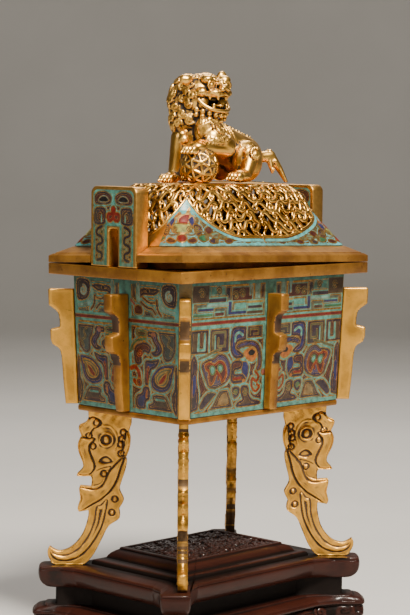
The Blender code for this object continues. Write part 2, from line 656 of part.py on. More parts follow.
def add_cover_shell(material, collection):
    """The enamelled part of the cover, from the frame up to the dome's ogee border."""
    columns = [index / 2 for index in range(DOME_CELLS * 2)]
    rings = []
    shares = (0.0, 0.45, 1.0)
    for share in shares:
        rings.append([cover_surface(c, level_at_rise(border_rise(c) - GAP) * share) for c in columns])
    for share in reversed(shares):
        level = [level_at_rise(border_rise(c) - GAP) * share for c in columns]
        rings.append([cover_surface(c, at, SHELL_THICKNESS) for c, at in zip(columns, level)])
    return add_mesh("cover_shell", loft(rings, close=True), material, collection)


def dome_point(column, share):
    start = level_at_rise(border_rise(column) + GAP)
    return column, start + (1 - start) * share


def thicken(build, inner_points):
    """Give an open surface of faces an inner side through inner_points, and close every open edge."""
    outer = list(build.verts)
    faces = list(build.faces)
    open_edges = [edge for edge in build.edges if len(edge.link_faces) == 1]
    inner = {vertex: build.verts.new(point) for vertex, point in zip(outer, inner_points)}
    for face in faces:
        build.faces.new([inner[vertex] for vertex in reversed(face.verts)])
    for edge in open_edges:
        loop = edge.link_loops[0]
        first, second = loop.vert, loop.link_loop_next.vert
        build.faces.new((second, first, inner[first], inner[second]))


def add_dome(material, collection):
    """The pierced gilt dome: slanting scroll cells with open eyes between a border and a crown."""
    build = bmesh.new()
    points = {}
    places = []

    def vertex(column, share):
        key = (round(column * 1000) % (DOME_CELLS * 1000), round(share * 1000))
        if key not in points:
            column_at, level = dome_point(key[0] / 1000, share)
            points[key] = build.verts.new(cover_surface(column_at, level))
            places.append((column_at, level, share))
        return points[key]

    first, last = 0.06, 0.94
    rows = [first + (last - first) * row / DOME_ROWS for row in range(DOME_ROWS + 1)]

    def ring_column(cell, row):
        return cell + CELL_SLANT * row

    for row in range(DOME_ROWS):
        low, high = rows[row], rows[row + 1]
        bulge = CELL_BULGE if row % 2 == 0 else -CELL_BULGE
        for cell in range(DOME_CELLS):
            def local(across, up):
                column = ring_column(cell, row) + across + CELL_SLANT * up
                return vertex(column, low + (high - low) * up)

            outer = [(0, 0), (1, 0), (1 + bulge, 0.5), (1, 1), (0, 1), (bulge, 0.5)]
            rim = [local(*place) for place in outer]
            eye = [local(across + bulge * 0.7, up) for across, up in HOLE]
            for index in range(6):
                after = (index + 1) % 6
                build.faces.new((rim[index], rim[after], eye[after], eye[index]))
    for cell in range(DOME_CELLS):
        lower = [vertex(cell + part, 0.0) for part in (0, 0.5, 1)]
        upper = [vertex(cell + part, first) for part in (1, 0)]
        build.faces.new((*lower, *upper))
        at_last = ring_column(cell, DOME_ROWS)
        lower = [vertex(at_last + part, last) for part in (0, 1)]
        upper = [vertex(at_last + part, 1.0) for part in (0, 1)]
        build.faces.new((lower[0], lower[1], upper[1], upper[0]))
    crown = [vertex(ring_column(cell, DOME_ROWS), 1.0) for cell in range(DOME_CELLS)]
    build.faces.new(crown)
    build.normal_update()
    inner = []
    for (column_at, level, share), corner in zip(places, build.verts):
        flush = cover_surface(column_at, level, DOME_THICKNESS)
        steep = corner.co - corner.normal * DOME_THICKNESS
        ease = min(1.0, max(0.0, (level - 0.35) / 0.2)) if share > 0 else 0.0
        inner.append(flush.lerp(steep, ease))
    thicken(build, inner)
    return add_mesh("pierced_dome", mesh_from_bmesh("dome", build), material, collection)


# Lion, in steps of a thousandth of a lion 86 steps tall: forward is -X, its left flank is -Y
LION_STEPS = 86
LION_FACES = 1700
LION_VOXEL = 0.0011
LION_LUMPS = [
    ((-19, 1, 36), (18, 16, 25)), ((-24, 3, 50), (18, 17, 18)), ((34, 0, 20), (17, 15, 16)),
    ((26, -16, 17), (16, 8, 16)), ((26, 16, 17), (16, 8, 16)), ((-22, -15, 38), (11, 8, 12)),
    ((-17, -8, 66), (19, 16, 17)), ((-20, 8, 60), (18, 11, 19)), ((-16, -22, 65), (11, 9, 6)),
    ((-16, -21, 54), (10, 9, 4)), ((-16, -29, 71), (5, 4, 4)), ((-24, -22, 74), (6, 5, 4)),
    ((-8, -22, 74), (6, 5, 4)), ((-35, -8, 77), (5, 4, 7)), ((1, -8, 81), (5, 4, 5)),
    ((-34, -20, 13.6), (13.6, 13.6, 13.6)), ((-43, -9, 31.5), (4, 4, 4)), ((-43, 13, 4), (9, 8, 5)),
    ((-41, -20, 28), (7, 7, 5)), ((1, -24, 4.5), (12, 8, 5.5)), ((8, 22, 4.5), (12, 8, 5.5)),
]
LION_LIMBS = [
    ((-12, 0, 38), (36, 0, 23), 16, 15), ((14, -21, 14), (6, -24, 5), 7, 6), ((16, 21, 14), (12, 22, 5), 7, 6),
    ((-28, 12, 34), (-36, 13, 6), 9, 6.5), ((-20, -19, 34), (-8, -22, 28), 9, 7),
    ((-8, -22, 27), (-38, -20, 28), 6.5, 5.5), ((46, -3, 22), (59, -8, 25), 5, 5),
    ((59, -8, 25), (63, -13, 14), 4.5, 3), ((63, -13, 14), (65, -19, 2), 3, 1.6),
    ((57, -8, 24), (56, -13, 11), 3.5, 1.4),
]
LION_PAWS = [(-50, 13, 3.5), (-47, -20, 25.5), (-9, -26, 3.5), (-2, 23, 3.5)]
LION_FACE_AT = (-17, -10, 65)


def ball_pattern(segments):
    """The points and faces of a ball of radius one."""
    build = bmesh.new()
    bmesh.ops.create_uvsphere(build, u_segments=segments, v_segments=segments // 2 + 2, radius=1.0)
    points = [vertex.co.copy() for vertex in build.verts]
    faces = [[vertex.index for vertex in face.verts] for face in build.faces]
    build.free()
    return points, faces


def lion_ball(lumps, centre, radii, segments=14):
    """Add one ball to the lion's lumps, a pair of point and face lists."""
    points, faces = lumps
    ball_points, ball_faces = ball_pattern(segments)
    first = len(points)
    radii = Vector(radii)
    points += [Vector(centre) + point * radii for point in ball_points]
    faces += [[first + index for index in face] for face in ball_faces]


def lion_limb(lumps, start, end, thick, thin):
    """A tapering limb: balls strung closely from one end to the other."""
    start, end = Vector(start), Vector(end)
    steps = max(2, int((end - start).length / (0.35 * min(thick, thin))) + 1)
    for step in range(steps + 1):
        share = step / steps
        radius = thick + (thin - thick) * share
        lion_ball(lumps, start.lerp(end, share), (radius,) * 3, 12)


def lion_mesh():
    """The seated lion, its head turned to the left, one paw on a ball, fused as one casting."""
    lumps = ([], [])
    for centre, radii in LION_LUMPS:
        lion_ball(lumps, centre, radii)
    for start, end, thick, thin in LION_LIMBS:
        lion_limb(lumps, start, end, thick, thin)
    for x, y, z in LION_PAWS:
        for toe in (-1.5, -0.5, 0.5, 1.5):
            lion_ball(lumps, (x - 0.8 * (1.5 - abs(toe)), y + 3.6 * toe, z), (4.0, 2.1, 3.4), 8)
    face = Vector(LION_FACE_AT)
    for ring, (radius, depth, count) in enumerate(((18, 0, 12), (19, 10, 12), (17, 19, 10))):
        for curl in range(count):
            turn = math.radians(-215 + 250 * curl / (count - 1) + 9 * ring)
            place = face + Vector((radius * math.cos(turn), depth, radius * math.sin(-turn)))
            lion_ball(lumps, place, (4.6, 4.6, 4.6), 8)
    for row in range(5):
        place = (-31 + row * 1.5, 2 + 2.2 * row, 49 - 3.2 * row)
        lion_ball(lumps, place, (7, 7, 7), 8)
    for bead in range(9):
        share = bead / 8
        lion_ball(lumps, (14 + 34 * share, 0, 49.5 - 17 * share ** 1.2), (2.2, 2.2, 2.2), 8)
    points, faces = lumps
    step = LION_HEIGHT / LION_STEPS
    shape = bpy.data.meshes.new("lion")
    shape.from_pydata([point * step for point in points], [], faces)
    holder = bpy.data.objects.new("lion_shape", shape)
    bpy.context.scene.collection.objects.link(holder)
    fuse = holder.modifiers.new("fuse", "REMESH")
    fuse.mode = "VOXEL"
    fuse.voxel_size = LION_VOXEL
    fused = evaluated_mesh(holder)
    bpy.data.objects.remove(holder)
    mouth = box_mesh(Vector((-25, -45, 57.5)) * step, Vector((-7, -17, 61.5)) * step)
    under = box_mesh(Vector((-90, -90, -20)) * step, Vector((90, 90, 0.35)) * step)
    thinned = bpy.data.objects.new("lion_thin", fused)
    bpy.context.scene.collection.objects.link(thinned)
    thin = thinned.modifiers.new("thin", "DECIMATE")
    triangles = sum(len(face.vertices) - 2 for face in fused.polygons)
    thin.ratio = LION_FACES / triangles
    thin.use_collapse_triangulate = True
    light = evaluated_mesh(thinned)
    bpy.data.objects.remove(thinned)
    solid = combine([light, mouth, under], "DIFFERENCE")
    solid.transform(Matrix.Translation((0, 0, -0.35 * step)))
    return solid


def add_lion(material, collection):
    mesh = lion_mesh()
    mesh.transform(Matrix.Translation(place_vessel(0, 0, LION_Z)))
    return add_mesh("lion_finial", mesh, material, collection)


def main():
    clear_scene()
    collection = make_collection("square_bronze_ding")
    gilt = make_material("gilt_bronze", (0.78, 0.56, 0.22), 0.38, 1.0)
    worn = make_material("worn_gilt_bronze", (0.50, 0.33, 0.12), 0.42, 1.0)
    enamel = make_material("turquoise_enamel", (0.16, 0.42, 0.38), 0.30, 0.0)
    wood = make_material("carved_dark_wood", (0.055, 0.018, 0.012), 0.30, 0.0)
    add_stand(wood, collection)
    add_legs(gilt, collection)
    add_base(worn, collection)
    add_body(enamel, collection)
    add_flanges(gilt, collection)
    add_rim(worn, collection)
    add_ears(worn, collection)
    add_cover_frame(worn, collection)
    add_cover_shell(enamel, collection)
    add_dome(gilt, collection)
    add_lion(gilt, collection)


main()
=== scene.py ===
"""Dresses the square bronze ding: cloisonne enamel, gilding, pierced cover, lion and carved wood stand."""

import math
import bmesh
import bpy
import numpy as np
from mathutils import Matrix, Vector
from mathutils.bvhtree import BVHTree


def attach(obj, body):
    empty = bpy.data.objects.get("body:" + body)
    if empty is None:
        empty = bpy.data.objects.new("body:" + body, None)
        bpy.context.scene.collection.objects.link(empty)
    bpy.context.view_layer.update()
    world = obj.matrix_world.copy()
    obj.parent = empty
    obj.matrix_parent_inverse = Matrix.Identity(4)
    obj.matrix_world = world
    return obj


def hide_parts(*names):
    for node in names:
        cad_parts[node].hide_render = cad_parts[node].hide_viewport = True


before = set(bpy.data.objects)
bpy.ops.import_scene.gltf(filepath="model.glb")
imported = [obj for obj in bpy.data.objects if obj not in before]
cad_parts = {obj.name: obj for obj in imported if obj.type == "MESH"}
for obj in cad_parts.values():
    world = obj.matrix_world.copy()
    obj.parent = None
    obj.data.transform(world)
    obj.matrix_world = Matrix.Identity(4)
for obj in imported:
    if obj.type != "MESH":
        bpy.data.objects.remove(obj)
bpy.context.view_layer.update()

bl_info = {
    "name": "Square bronze ding",
    "version": (1, 0, 0),
    "blender": (4, 5, 0),
    "location": "3D View > Sidebar > Ding",
    "description": "Enamel, gilding, openwork, lion and carved stand of a square incense burner",
    "category": "Object",
}

MM = 0.001

# Vessel, measured from its own axis; the axis stands a little off the stand's centre
VESSEL_AT = (0.0035, -0.0035)
LEG_Z = 0.0578
LEG_HEIGHT = 0.1196
BODY_Z = 0.1821
BODY_HEIGHT = 0.0990
BODY_FOOT = (0.0881, 0.0595)
BODY_TOP = (0.0910, 0.0630)
CORNER_FLAT = 0.0067
CORNER = (BODY_FOOT[0] - CORNER_FLAT / 2, BODY_FOOT[1] - CORNER_FLAT / 2)
RIM_HALF = (0.1035, 0.0711)
RIM_TOP = 0.2898
MOUTH_HALF = (0.0875, 0.0595)
COVER_Z = 0.2901
COVER_EDGE = 0.0053
COVER_BORDER = 0.0130
COVER_LIFT = 0.0068
SHELL_Z = 0.3015
DOME_HEIGHT = 0.0461
COVER_SPAN = 0.029
LION_Z = 0.3513
STAND_TOP = 0.0575
SIDES = {"left": (-1, 1), "front": (-1, -1), "right": (1, -1), "back": (1, 1)}
ENAMEL_PROUD = 0.00014
ENAMEL_SUNK = 0.0002
PLATE_THICK = 0.0082


# Points and meshes

def place_vessel(x, y, z):
    """Vessel coordinates as an array of world points."""
    return np.stack([VESSEL_AT[0] + x + 0 * z, VESSEL_AT[1] + y + 0 * z, z + 0 * x], -1)


def smooth_loop(points, corners=(), steps=6):
    """A closed loop through the points, curved except at the numbered corners."""
    points = np.array(points, float)
    count = len(points)
    loop = []
    for index in range(count):
        before, start, end, after = (points[(index + shift) % count] for shift in (-1, 0, 1, 2))
        leave = (end - before) / 2 if index not in corners else (end - start) * 0.6
        arrive = (after - start) / 2 if (index + 1) % count not in corners else (end - start) * 0.6
        for step in range(steps):
            t = step / steps
            h00, h10 = 2 * t**3 - 3 * t**2 + 1, t**3 - 2 * t**2 + t
            h01, h11 = -2 * t**3 + 3 * t**2, t**3 - t**2
            loop.append(h00 * start + h10 * leave + h01 * end + h11 * arrive)
    return np.array(loop)


def smooth_path(points, steps=6):
    """An open curve through the points."""
    points = np.array(points, float)
    padded = np.vstack([2 * points[0] - points[1], points, 2 * points[-1] - points[-2]])
    path = []
    for index in range(1, len(points)):
        before, start, end, after = padded[index - 1:index + 3]
        for step in range(steps):
            t = step / steps
            bow = (2 * before - 5 * start + 4 * end - after) * t**2
            bend = (3 * start - before - 3 * end + after) * t**3
            path.append(0.5 * (2 * start + (end - before) * t + bow + bend))
    path.append(points[-1])
    return np.array(path)


def segment_gap(x, y, start, end):
    """Distance from each place to a straight segment, and the nearest place on it."""
    dx, dy = end[0] - start[0], end[1] - start[1]
    length = dx * dx + dy * dy
    share = np.clip(((x - start[0]) * dx + (y - start[1]) * dy) / max(length, 1e-18), 0, 1)
    near_x, near_y = start[0] + share * dx, start[1] + share * dy
    return np.hypot(x - near_x, y - near_y), near_x, near_y


def path_gap(x, y, path, close=False):
    """Distance from each place to a line of points."""
    best = np.full(x.shape, 1e3)
    ends = np.roll(path, -1, 0) if close else path[1:]
    for start, end in zip(path, ends):
        best = np.minimum(best, segment_gap(x, y, start, end)[0])
    return best


def ridge(gap, width):
    """1 on a line, falling softly to nothing about two widths away."""
    return np.exp(-(gap / width) ** 2)


def bead(gap, radius):
    """Height of a round-topped bead, 1 at its middle and 0 from its radius on."""
    return np.sqrt(np.clip(1 - (gap / radius) ** 2, 0, 1))


def inside_loops(x, y, loops):
    inside = np.zeros(x.shape, bool)
    for loop in loops:
        for (x0, y0), (x1, y1) in zip(loop, np.roll(loop, -1, 0)):
            if y0 != y1:
                inside ^= ((y0 > y) != (y1 > y)) & (x < x0 + (y - y0) * (x1 - x0) / (y1 - y0))
    return inside


def loop_gap(x, y, loops):
    """Signed distance to closed loops, negative inside, and the nearest place on them."""
    best = np.full(x.shape, 1e3)
    near_x, near_y = x.copy(), y.copy()
    for loop in loops:
        for start, end in zip(loop, np.roll(loop, -1, 0)):
            gap, at_x, at_y = segment_gap(x, y, start, end)
            closer = gap < best
            best[closer] = gap[closer]
            near_x[closer] = at_x[closer]
            near_y[closer] = at_y[closer]
    return np.where(inside_loops(x, y, loops), -best, best), near_x, near_y


def grid_faces(rows, columns, close=False):
    """Faces of a grid of points stored row by row, closed round the columns if asked."""
    across = columns if close else columns - 1
    row, column = np.meshgrid(np.arange(rows - 1), np.arange(across), indexing="ij")
    after = (column + 1) % columns
    faces = [row * columns + column, row * columns + after, (row + 1) * columns + after, (row + 1) * columns + column]
    return np.stack(faces, -1).reshape(-1, 4)


def wrapped_faces(rings, count):
    """Faces of closed rings of points, the last ring joined to the first."""
    last = (rings - 1) * count
    faces = grid_faces(rings, count, close=True).tolist()
    return faces + [[last + place, last + (place + 1) % count, (place + 1) % count, place] for place in range(count)]


def capped_faces(rings, count):
    """Faces of closed rings of points, with one face over each end."""
    last = (rings - 1) * count
    faces = grid_faces(rings, count, close=True).tolist()
    return faces + [list(range(count))[::-1], list(range(last, last + count))]


def backed_sheet(front, back, rows, columns):
    """A grid of points closed by its rim and one flat face through the back's rim: points and faces."""
    rim = list(range(columns)) + [row * columns + columns - 1 for row in range(1, rows)]
    rim += [(rows - 1) * columns + column for column in range(columns - 2, -1, -1)]
    rim += [row * columns for row in range(rows - 2, 0, -1)]
    behind = [len(front) + place for place in range(len(rim))]
    faces = grid_faces(rows, columns).tolist()
    for place in range(len(rim)):
        after = (place + 1) % len(rim)
        faces.append([rim[after], rim[place], behind[place], behind[after]])
    return np.vstack([front, back[rim]]), faces + [behind]


def turn_outward(mesh):
    build = bmesh.new()
    build.from_mesh(mesh)
    bmesh.ops.recalc_face_normals(build, faces=build.faces)
    build.to_mesh(mesh)
    build.free()


def link(name, data):
    """An object of a mesh, light or camera, in the scene."""
    item = bpy.data.objects.new(name, data)
    bpy.context.scene.collection.objects.link(item)
    return item


def hold(name, mesh):
    """An object of the mesh, alone selected and active."""
    holder = link(name, mesh)
    bpy.ops.object.select_all(action="DESELECT")
    holder.select_set(True)
    bpy.context.view_layer.objects.active = holder
    return holder


def apply_modifier(holder, kind, **settings):
    step = holder.modifiers.new(kind.lower(), kind)
    for name, value in settings.items():
        setattr(step, name, value)
    bpy.context.view_layer.objects.active = holder
    bpy.ops.object.modifier_apply(modifier=step.name)


def release(holder):
    """The worked mesh, without its object."""
    mesh = holder.data
    bpy.data.objects.remove(holder)
    return mesh


def finish_piece(name, mesh, finish, replaces=(), smooth=None):
    """Makes a mesh a piece of the object: outward faces, shading, finish and body, hiding the parts it replaces."""
    turn_outward(mesh)
    piece = hold(name, mesh)
    mesh.materials.clear()
    mesh.materials.append(finish)
    mesh.shade_smooth()
    if smooth is not None:
        bpy.ops.object.shade_smooth_by_angle(angle=math.radians(smooth))
    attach(piece, "root")
    if replaces:
        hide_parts(*replaces)


def array_mesh(name, points, faces):
    mesh = bpy.data.meshes.new(name)
    mesh.from_pydata(np.asarray(points).tolist(), [], [list(face) for face in faces])
    return mesh


def set_attribute(mesh, name, values, kind="FLOAT"):
    layer = mesh.attributes.get(name) or mesh.attributes.new(name, kind, "POINT")
    field = "color" if kind == "FLOAT_COLOR" else "value"
    layer.data.foreach_set(field, np.ascontiguousarray(values, dtype=np.float32).ravel())


def mesh_points(mesh):
    points = np.empty(len(mesh.vertices) * 3)
    mesh.vertices.foreach_get("co", points)
    return points.reshape(-1, 3)


def mesh_normals(mesh):
    normals = np.empty(len(mesh.vertices) * 3)
    mesh.vertices.foreach_get("normal", normals)
    return normals.reshape(-1, 3)


def ray_tree(mesh):
    build = bmesh.new()
    build.from_mesh(mesh)
    tree = BVHTree.FromBMesh(build)
    build.free()
    return tree


def sheltered(mesh, reach):
    """The share of the open half-space that is blocked within reach, at each point."""
    tree = ray_tree(mesh)
    points, normals = mesh_points(mesh), mesh_normals(mesh)
    side = np.cross(normals, (0.31, 0.52, 0.79))
    side /= np.linalg.norm(side, axis=1, keepdims=True) + 1e-9
    other = np.cross(normals, side)
    blocked = np.zeros(len(points))
    for turn, tilt in ((0.0, 0.9), (2.1, 0.9), (4.2, 0.9), (1.0, 0.35), (3.2, 0.35), (5.2, 0.35)):
        away = normals * math.cos(tilt) + (side * math.cos(turn) + other * math.sin(turn)) * math.sin(tilt)
        starts = points + normals * 0.00015
        for place, (start, ray) in enumerate(zip(starts.tolist(), away.tolist())):
            if tree.ray_cast(start, ray, reach)[0] is not None:
                blocked[place] += 1 / 6
    return blocked


def mark_hollows(mesh, rounds=10, reach=0.0004, shelter=0.0):
    """Stores how sunk each point is, from -1 on ridges to 1 in hollows and sheltered places."""
    points = mesh_points(mesh)
    edges = np.empty(len(mesh.edges) * 2, np.int64)
    mesh.edges.foreach_get("vertices", edges)
    first, second = edges.reshape(-1, 2).T
    count = np.bincount(np.concatenate([first, second]), minlength=len(points)).clip(1)
    settled = points.copy()
    for _ in range(rounds):
        total = np.empty_like(settled)
        for axis in range(3):
            part = np.bincount(first, settled[second, axis], len(points))
            total[:, axis] = (part + np.bincount(second, settled[first, axis], len(points))) / count
        settled = total
    sunk = ((settled - points) * mesh_normals(mesh)).sum(1) / reach
    if shelter:
        # painted shade: the share of blocked rays is added, so the finishes darken places where light is blocked
        sunk = sunk + 2.5 * np.clip(sheltered(mesh, shelter) - 0.24, 0, 1)
    set_attribute(mesh, "hollow", np.clip(sunk, -1, 1))


def mark_edge(mesh, direction, reach, deep):
    """On a plate's narrow edge, stores as sunk, for painted shade, what lies back from the plate's own lobes within
    reach.
    """
    points = mesh_points(mesh)
    facing = mesh_normals(mesh)[:, :2] @ direction
    sunk = np.empty(len(points))
    mesh.attributes["hollow"].data.foreach_get("value", sunk)
    for sign in (-1, 1):
        held = np.flatnonzero(facing * sign > 0.4)
        out, up = sign * points[held, :2] @ np.array(direction), points[held, 2]
        near = np.abs(up[:, None] - up[None, :]) < reach
        depth = np.where(near, out[None, :], -9.0).max(1) - out
        # painted shade: the edge darkens where it lies back behind the lobes, under and between the noses
        sunk[held] = 1.05 * np.clip(depth / deep, 0, 1) - 0.30
    set_attribute(mesh, "hollow", sunk)


def plate_grid(loops, spacing):
    """A fine grid cut to closed loops: its places, faces and how far inside the edge each place is."""
    every = np.vstack(loops)
    low, high = every.min(0) - spacing, every.max(0) + spacing
    across, up = (np.arange(low[axis], high[axis] + spacing, spacing) for axis in (0, 1))
    x, y = (grid.ravel() for grid in np.meshgrid(across, up))
    gap, near_x, near_y = loop_gap(x, y, loops)
    snapped = np.abs(gap) < 0.5 * spacing
    x, y = np.where(snapped, near_x, x), np.where(snapped, near_y, y)
    kept = (gap < 0) | snapped
    faces = []
    for face in grid_faces(len(up), len(across)):
        held = [corner for corner in face if kept[corner]]
        if len(held) >= 3 and gap[held].mean() < 0.12 * spacing:
            faces.append(held)
    used = np.unique(np.concatenate(faces))
    number = np.full(len(x), -1)
    number[used] = np.arange(len(used))
    depth = np.where(snapped, 0, -gap)[used]
    return np.stack([x[used], y[used]], -1), [list(number[face]) for face in faces], depth


def open_edges(faces):
    """Directed edges that only one face has."""
    seen = {}
    for face in faces:
        for start, end in zip(face, face[1:] + face[:1]):
            seen[(start, end)] = seen.get((start, end), 0) + 1
    return [edge for edge in seen if (edge[1], edge[0]) not in seen]


def plate_solid(loops, spacing, thickness, edge, relief=None):
    """A closed plate in across-up coordinates with rounded edges: points (across, out, up) and faces."""
    places, faces, depth = plate_grid(loops, spacing)
    inner = np.clip(1 - depth / edge, 0, 1)
    height = thickness / 2 - edge * (1 - np.sqrt(np.clip(1 - inner**2, 0, 1)))
    if relief is not None:
        height = height + relief(places[:, 0], places[:, 1]) * np.clip(depth / edge, 0, 1)
    count = len(places)
    front = np.stack([places[:, 0], height, places[:, 1]], -1)
    back = front * (1, -1, 1)
    solid = list(faces) + [[corner + count for corner in reversed(face)] for face in faces]
    for start, end in open_edges(faces):
        solid.append([end, start, start + count, end + count])
    return np.vstack([front, back]), solid, np.concatenate([depth, depth])


def sweep(path, normals, width, height, taper=None, close=False, sides=6):
    """A rounded rib along a path that lies on a surface, as points and faces."""
    path = np.asarray(path, float)
    ahead = np.gradient(path, axis=0) if not close else np.roll(path, -1, 0) - np.roll(path, 1, 0)
    ahead /= np.linalg.norm(ahead, axis=1, keepdims=True) + 1e-12
    across = np.cross(ahead, normals)
    across /= np.linalg.norm(across, axis=1, keepdims=True) + 1e-12
    scale = np.ones(len(path)) if taper is None else taper
    turns = 2 * np.pi * (np.arange(sides) + 0.5) / sides
    points = []
    for turn in turns:
        side = across * (math.cos(turn) * width * scale)[:, None]
        points.append(path + side + normals * (math.sin(turn) * height * scale)[:, None])
    faces = (wrapped_faces if close else capped_faces)(len(path), sides)
    return np.stack(points, 1).reshape(-1, 3), faces


def scatter(place, row):
    """A fixed number between 0 and 1 for each place of each row, in no visible order."""
    seed = math.sin(12.9898 * place + 78.233 * row) * 43758.5453
    return seed - math.floor(seed)


def gather(parts):
    """Several (points, faces) parts as one."""
    points, faces, first = [], [], 0
    for part_points, part_faces in parts:
        points.append(part_points)
        faces += [[first + corner for corner in face] for face in part_faces]
        first += len(part_points)
    return np.vstack(points), faces


# Finishes

class Level:
    """A number that changes over a surface, for sums written as Python expressions."""

    def __init__(self, finish, socket):
        self.finish = finish
        self.socket = socket

    def sum_with(self, operation, *others, swap=False):
        values = [self, *others]
        if swap:
            values.reverse()
        return self.finish.node("ShaderNodeMath", {"operation": operation}, dict(enumerate(values)))

    def __add__(self, other):
        return self.sum_with("ADD", other)

    __radd__ = __add__

    def __sub__(self, other):
        return self.sum_with("SUBTRACT", other)

    def __rsub__(self, other):
        return self.sum_with("SUBTRACT", other, swap=True)

    def __mul__(self, other):
        return self.sum_with("MULTIPLY", other)

    __rmul__ = __mul__

    def clamp(self):
        return self.finish.node("ShaderNodeClamp", {}, {"Value": self})

    def between(self, low, high):
        """0 at low, 1 at high, smooth between."""
        places = {"Value": self, "From Min": low, "From Max": high}
        return self.finish.node("ShaderNodeMapRange", {"interpolation_type": "SMOOTHSTEP"}, places)


class Finish:
    """A material made of procedural layers."""

    def __init__(self, name, **constants):
        self.material = bpy.data.materials.new(name)
        self.material.use_nodes = True
        self.tree = self.material.node_tree
        self.shader = self.tree.nodes["Principled BSDF"]
        for socket, value in constants.items():
            self.shader.inputs[socket.replace("_", " ")].default_value = value
        self.place = self.node("ShaderNodeTexCoord", {}, {}, "Object")

    def node(self, kind, settings, values, output=0):
        node = self.tree.nodes.new(kind)
        for name, value in settings.items():
            setattr(node, name, value)
        for name, value in values.items():
            if isinstance(value, Level):
                self.tree.links.new(value.socket, node.inputs[name])
            elif isinstance(value, tuple) and node.inputs[name].type == "RGBA":
                node.inputs[name].default_value = (*value, 1.0)[:4]
            else:
                node.inputs[name].default_value = value
        return Level(self, node.outputs[output])

    def noise(self, size, detail=4.0, rough=0.55, stretch=None):
        """Soft noise whose patches are about size metres across."""
        where = self.place
        if stretch:
            where = self.node("ShaderNodeMapping", {}, {"Vector": self.place, "Scale": stretch})
        values = {"Vector": where, "Scale": 1 / size, "Detail": detail, "Roughness": rough}
        return self.node("ShaderNodeTexNoise", {}, values)

    def cells(self, size):
        """Distance from scattered points about size metres apart, in cell widths."""
        return self.node("ShaderNodeTexVoronoi", {}, {"Vector": self.place, "Scale": 1 / size})

    def mix(self, share, first, second, blend="MIX"):
        values = {0: share, 6: first, 7: second}
        settings = {"data_type": "RGBA", "blend_type": blend}
        return self.node("ShaderNodeMix", settings, values, 2)

    def blend(self, share, first, second):
        """A number from first to second."""
        return self.node("ShaderNodeMix", {"data_type": "FLOAT"}, {0: share, 2: first, 3: second})

    def attribute(self, name, output="Fac"):
        return self.node("ShaderNodeAttribute", {"attribute_name": name}, {}, output)

    def feed(self, **levels):
        for socket, level in levels.items():
            self.tree.links.new(level.socket, self.shader.inputs[socket.replace("_", " ")])

    def bump(self, height, distance):
        values = {"Height": height, "Distance": distance, "Strength": 1.0}
        self.feed(Normal=self.node("ShaderNodeBump", {}, values))


def gilt_finish(name, bright, dull, dark, gloss, pits=0.00025, wear=0.5, hollows=False, metal=1.0):
    """Fire gilding: mottled gold with fine pits, brown where it has worn, and, with hollows on, darker in hollows and
    sheltered places as painted shade and dirt.
    """
    finish = Finish(name, Metallic=metal)
    broad = finish.noise(0.016, 3)
    fine = finish.noise(0.0016, 5, 0.65)
    speck = finish.noise(0.0045, 6, 0.7)
    colour = finish.mix(broad.between(0.28, 0.72), dull, bright)
    colour = finish.mix(fine.between(0.55, 0.75) * 0.35, colour, dull)
    colour = finish.mix(speck.between(0.60, 0.72) * wear, colour, dark)
    rough = gloss + 0.16 * (broad - 0.5) + 0.18 * (fine - 0.5) + 0.15 * speck.between(0.6, 0.72)
    if hollows:
        sunk = finish.attribute("hollow")
        # painted shade and dirt: darker, duller and less metallic in hollows and sheltered places where shade falls;
        # lighter on ridges
        shade_and_dirt = sunk.between(0.10, 0.85)
        colour = finish.mix(shade_and_dirt, colour, dark)
        colour = finish.mix((0 - sunk).between(0.25, 1.0) * 0.6, colour, bright)
        rough = rough + 0.30 * shade_and_dirt
        finish.feed(Metallic=metal - 0.85 * metal * shade_and_dirt)
    finish.feed(Base_Color=colour, Roughness=rough.clamp())
    height = fine * 0.6 + finish.noise(0.0006, 3) * 0.25 + finish.noise(0.006, 2) * 0.5
    finish.bump(height, pits)
    return finish.material


def enamel_finish(name):
    """Polished enamel between gilt wires: the colour of each cell is stored on the piece."""
    finish = Finish(name, Specular_IOR_Level=0.45)
    tint = finish.attribute("enamel_tint", "Color")
    wire = finish.attribute("wire_gap")
    cloud = finish.noise(0.004, 5, 0.6)
    grain = finish.noise(0.0009, 4, 0.7)
    lighter = finish.mix(1.0, tint, (1.25, 1.25, 1.2), "MULTIPLY")
    darker = finish.mix(1.0, tint, (0.58, 0.52, 0.48), "MULTIPLY")
    colour = finish.mix(cloud.between(0.3, 0.7), darker, lighter)
    bluer = finish.mix(1.0, tint, (1.5, 1.9, 2.3), "MULTIPLY")
    colour = finish.mix(finish.noise(0.018, 3).between(0.50, 0.68) * 0.35, colour, (0.050, 0.055, 0.030))
    colour = finish.mix(finish.noise(0.011, 3).between(0.54, 0.70) * 0.30, colour, bluer)
    colour = finish.mix(grain.between(0.52, 0.72) * 0.35, colour, darker)
    pinhole = finish.cells(0.0021)
    hole = (1 - pinhole.between(0.07, 0.13)) * finish.noise(0.008, 2).between(0.5, 0.62)
    colour = finish.mix(hole * 0.8, colour, (0.03, 0.025, 0.02))
    metal = 1 - wire.between(0.11, 0.25)
    gold = finish.mix(finish.noise(0.003, 4).between(0.35, 0.65), (0.30, 0.145, 0.032), (0.55, 0.30, 0.080))
    gold = finish.mix((0 - wire).between(0.2, 0.8) * 0.6, gold, (0.66, 0.36, 0.085))
    finish.feed(Base_Color=finish.mix(metal, colour, gold), Metallic=metal)
    rough = finish.blend(metal, 0.30, 0.42) + 0.22 * (grain - 0.5) + 0.25 * hole
    finish.feed(Roughness=rough.clamp())
    finish.bump(metal * 0.35 - hole * 0.6 + grain * 0.25, 0.00012)
    return finish.material


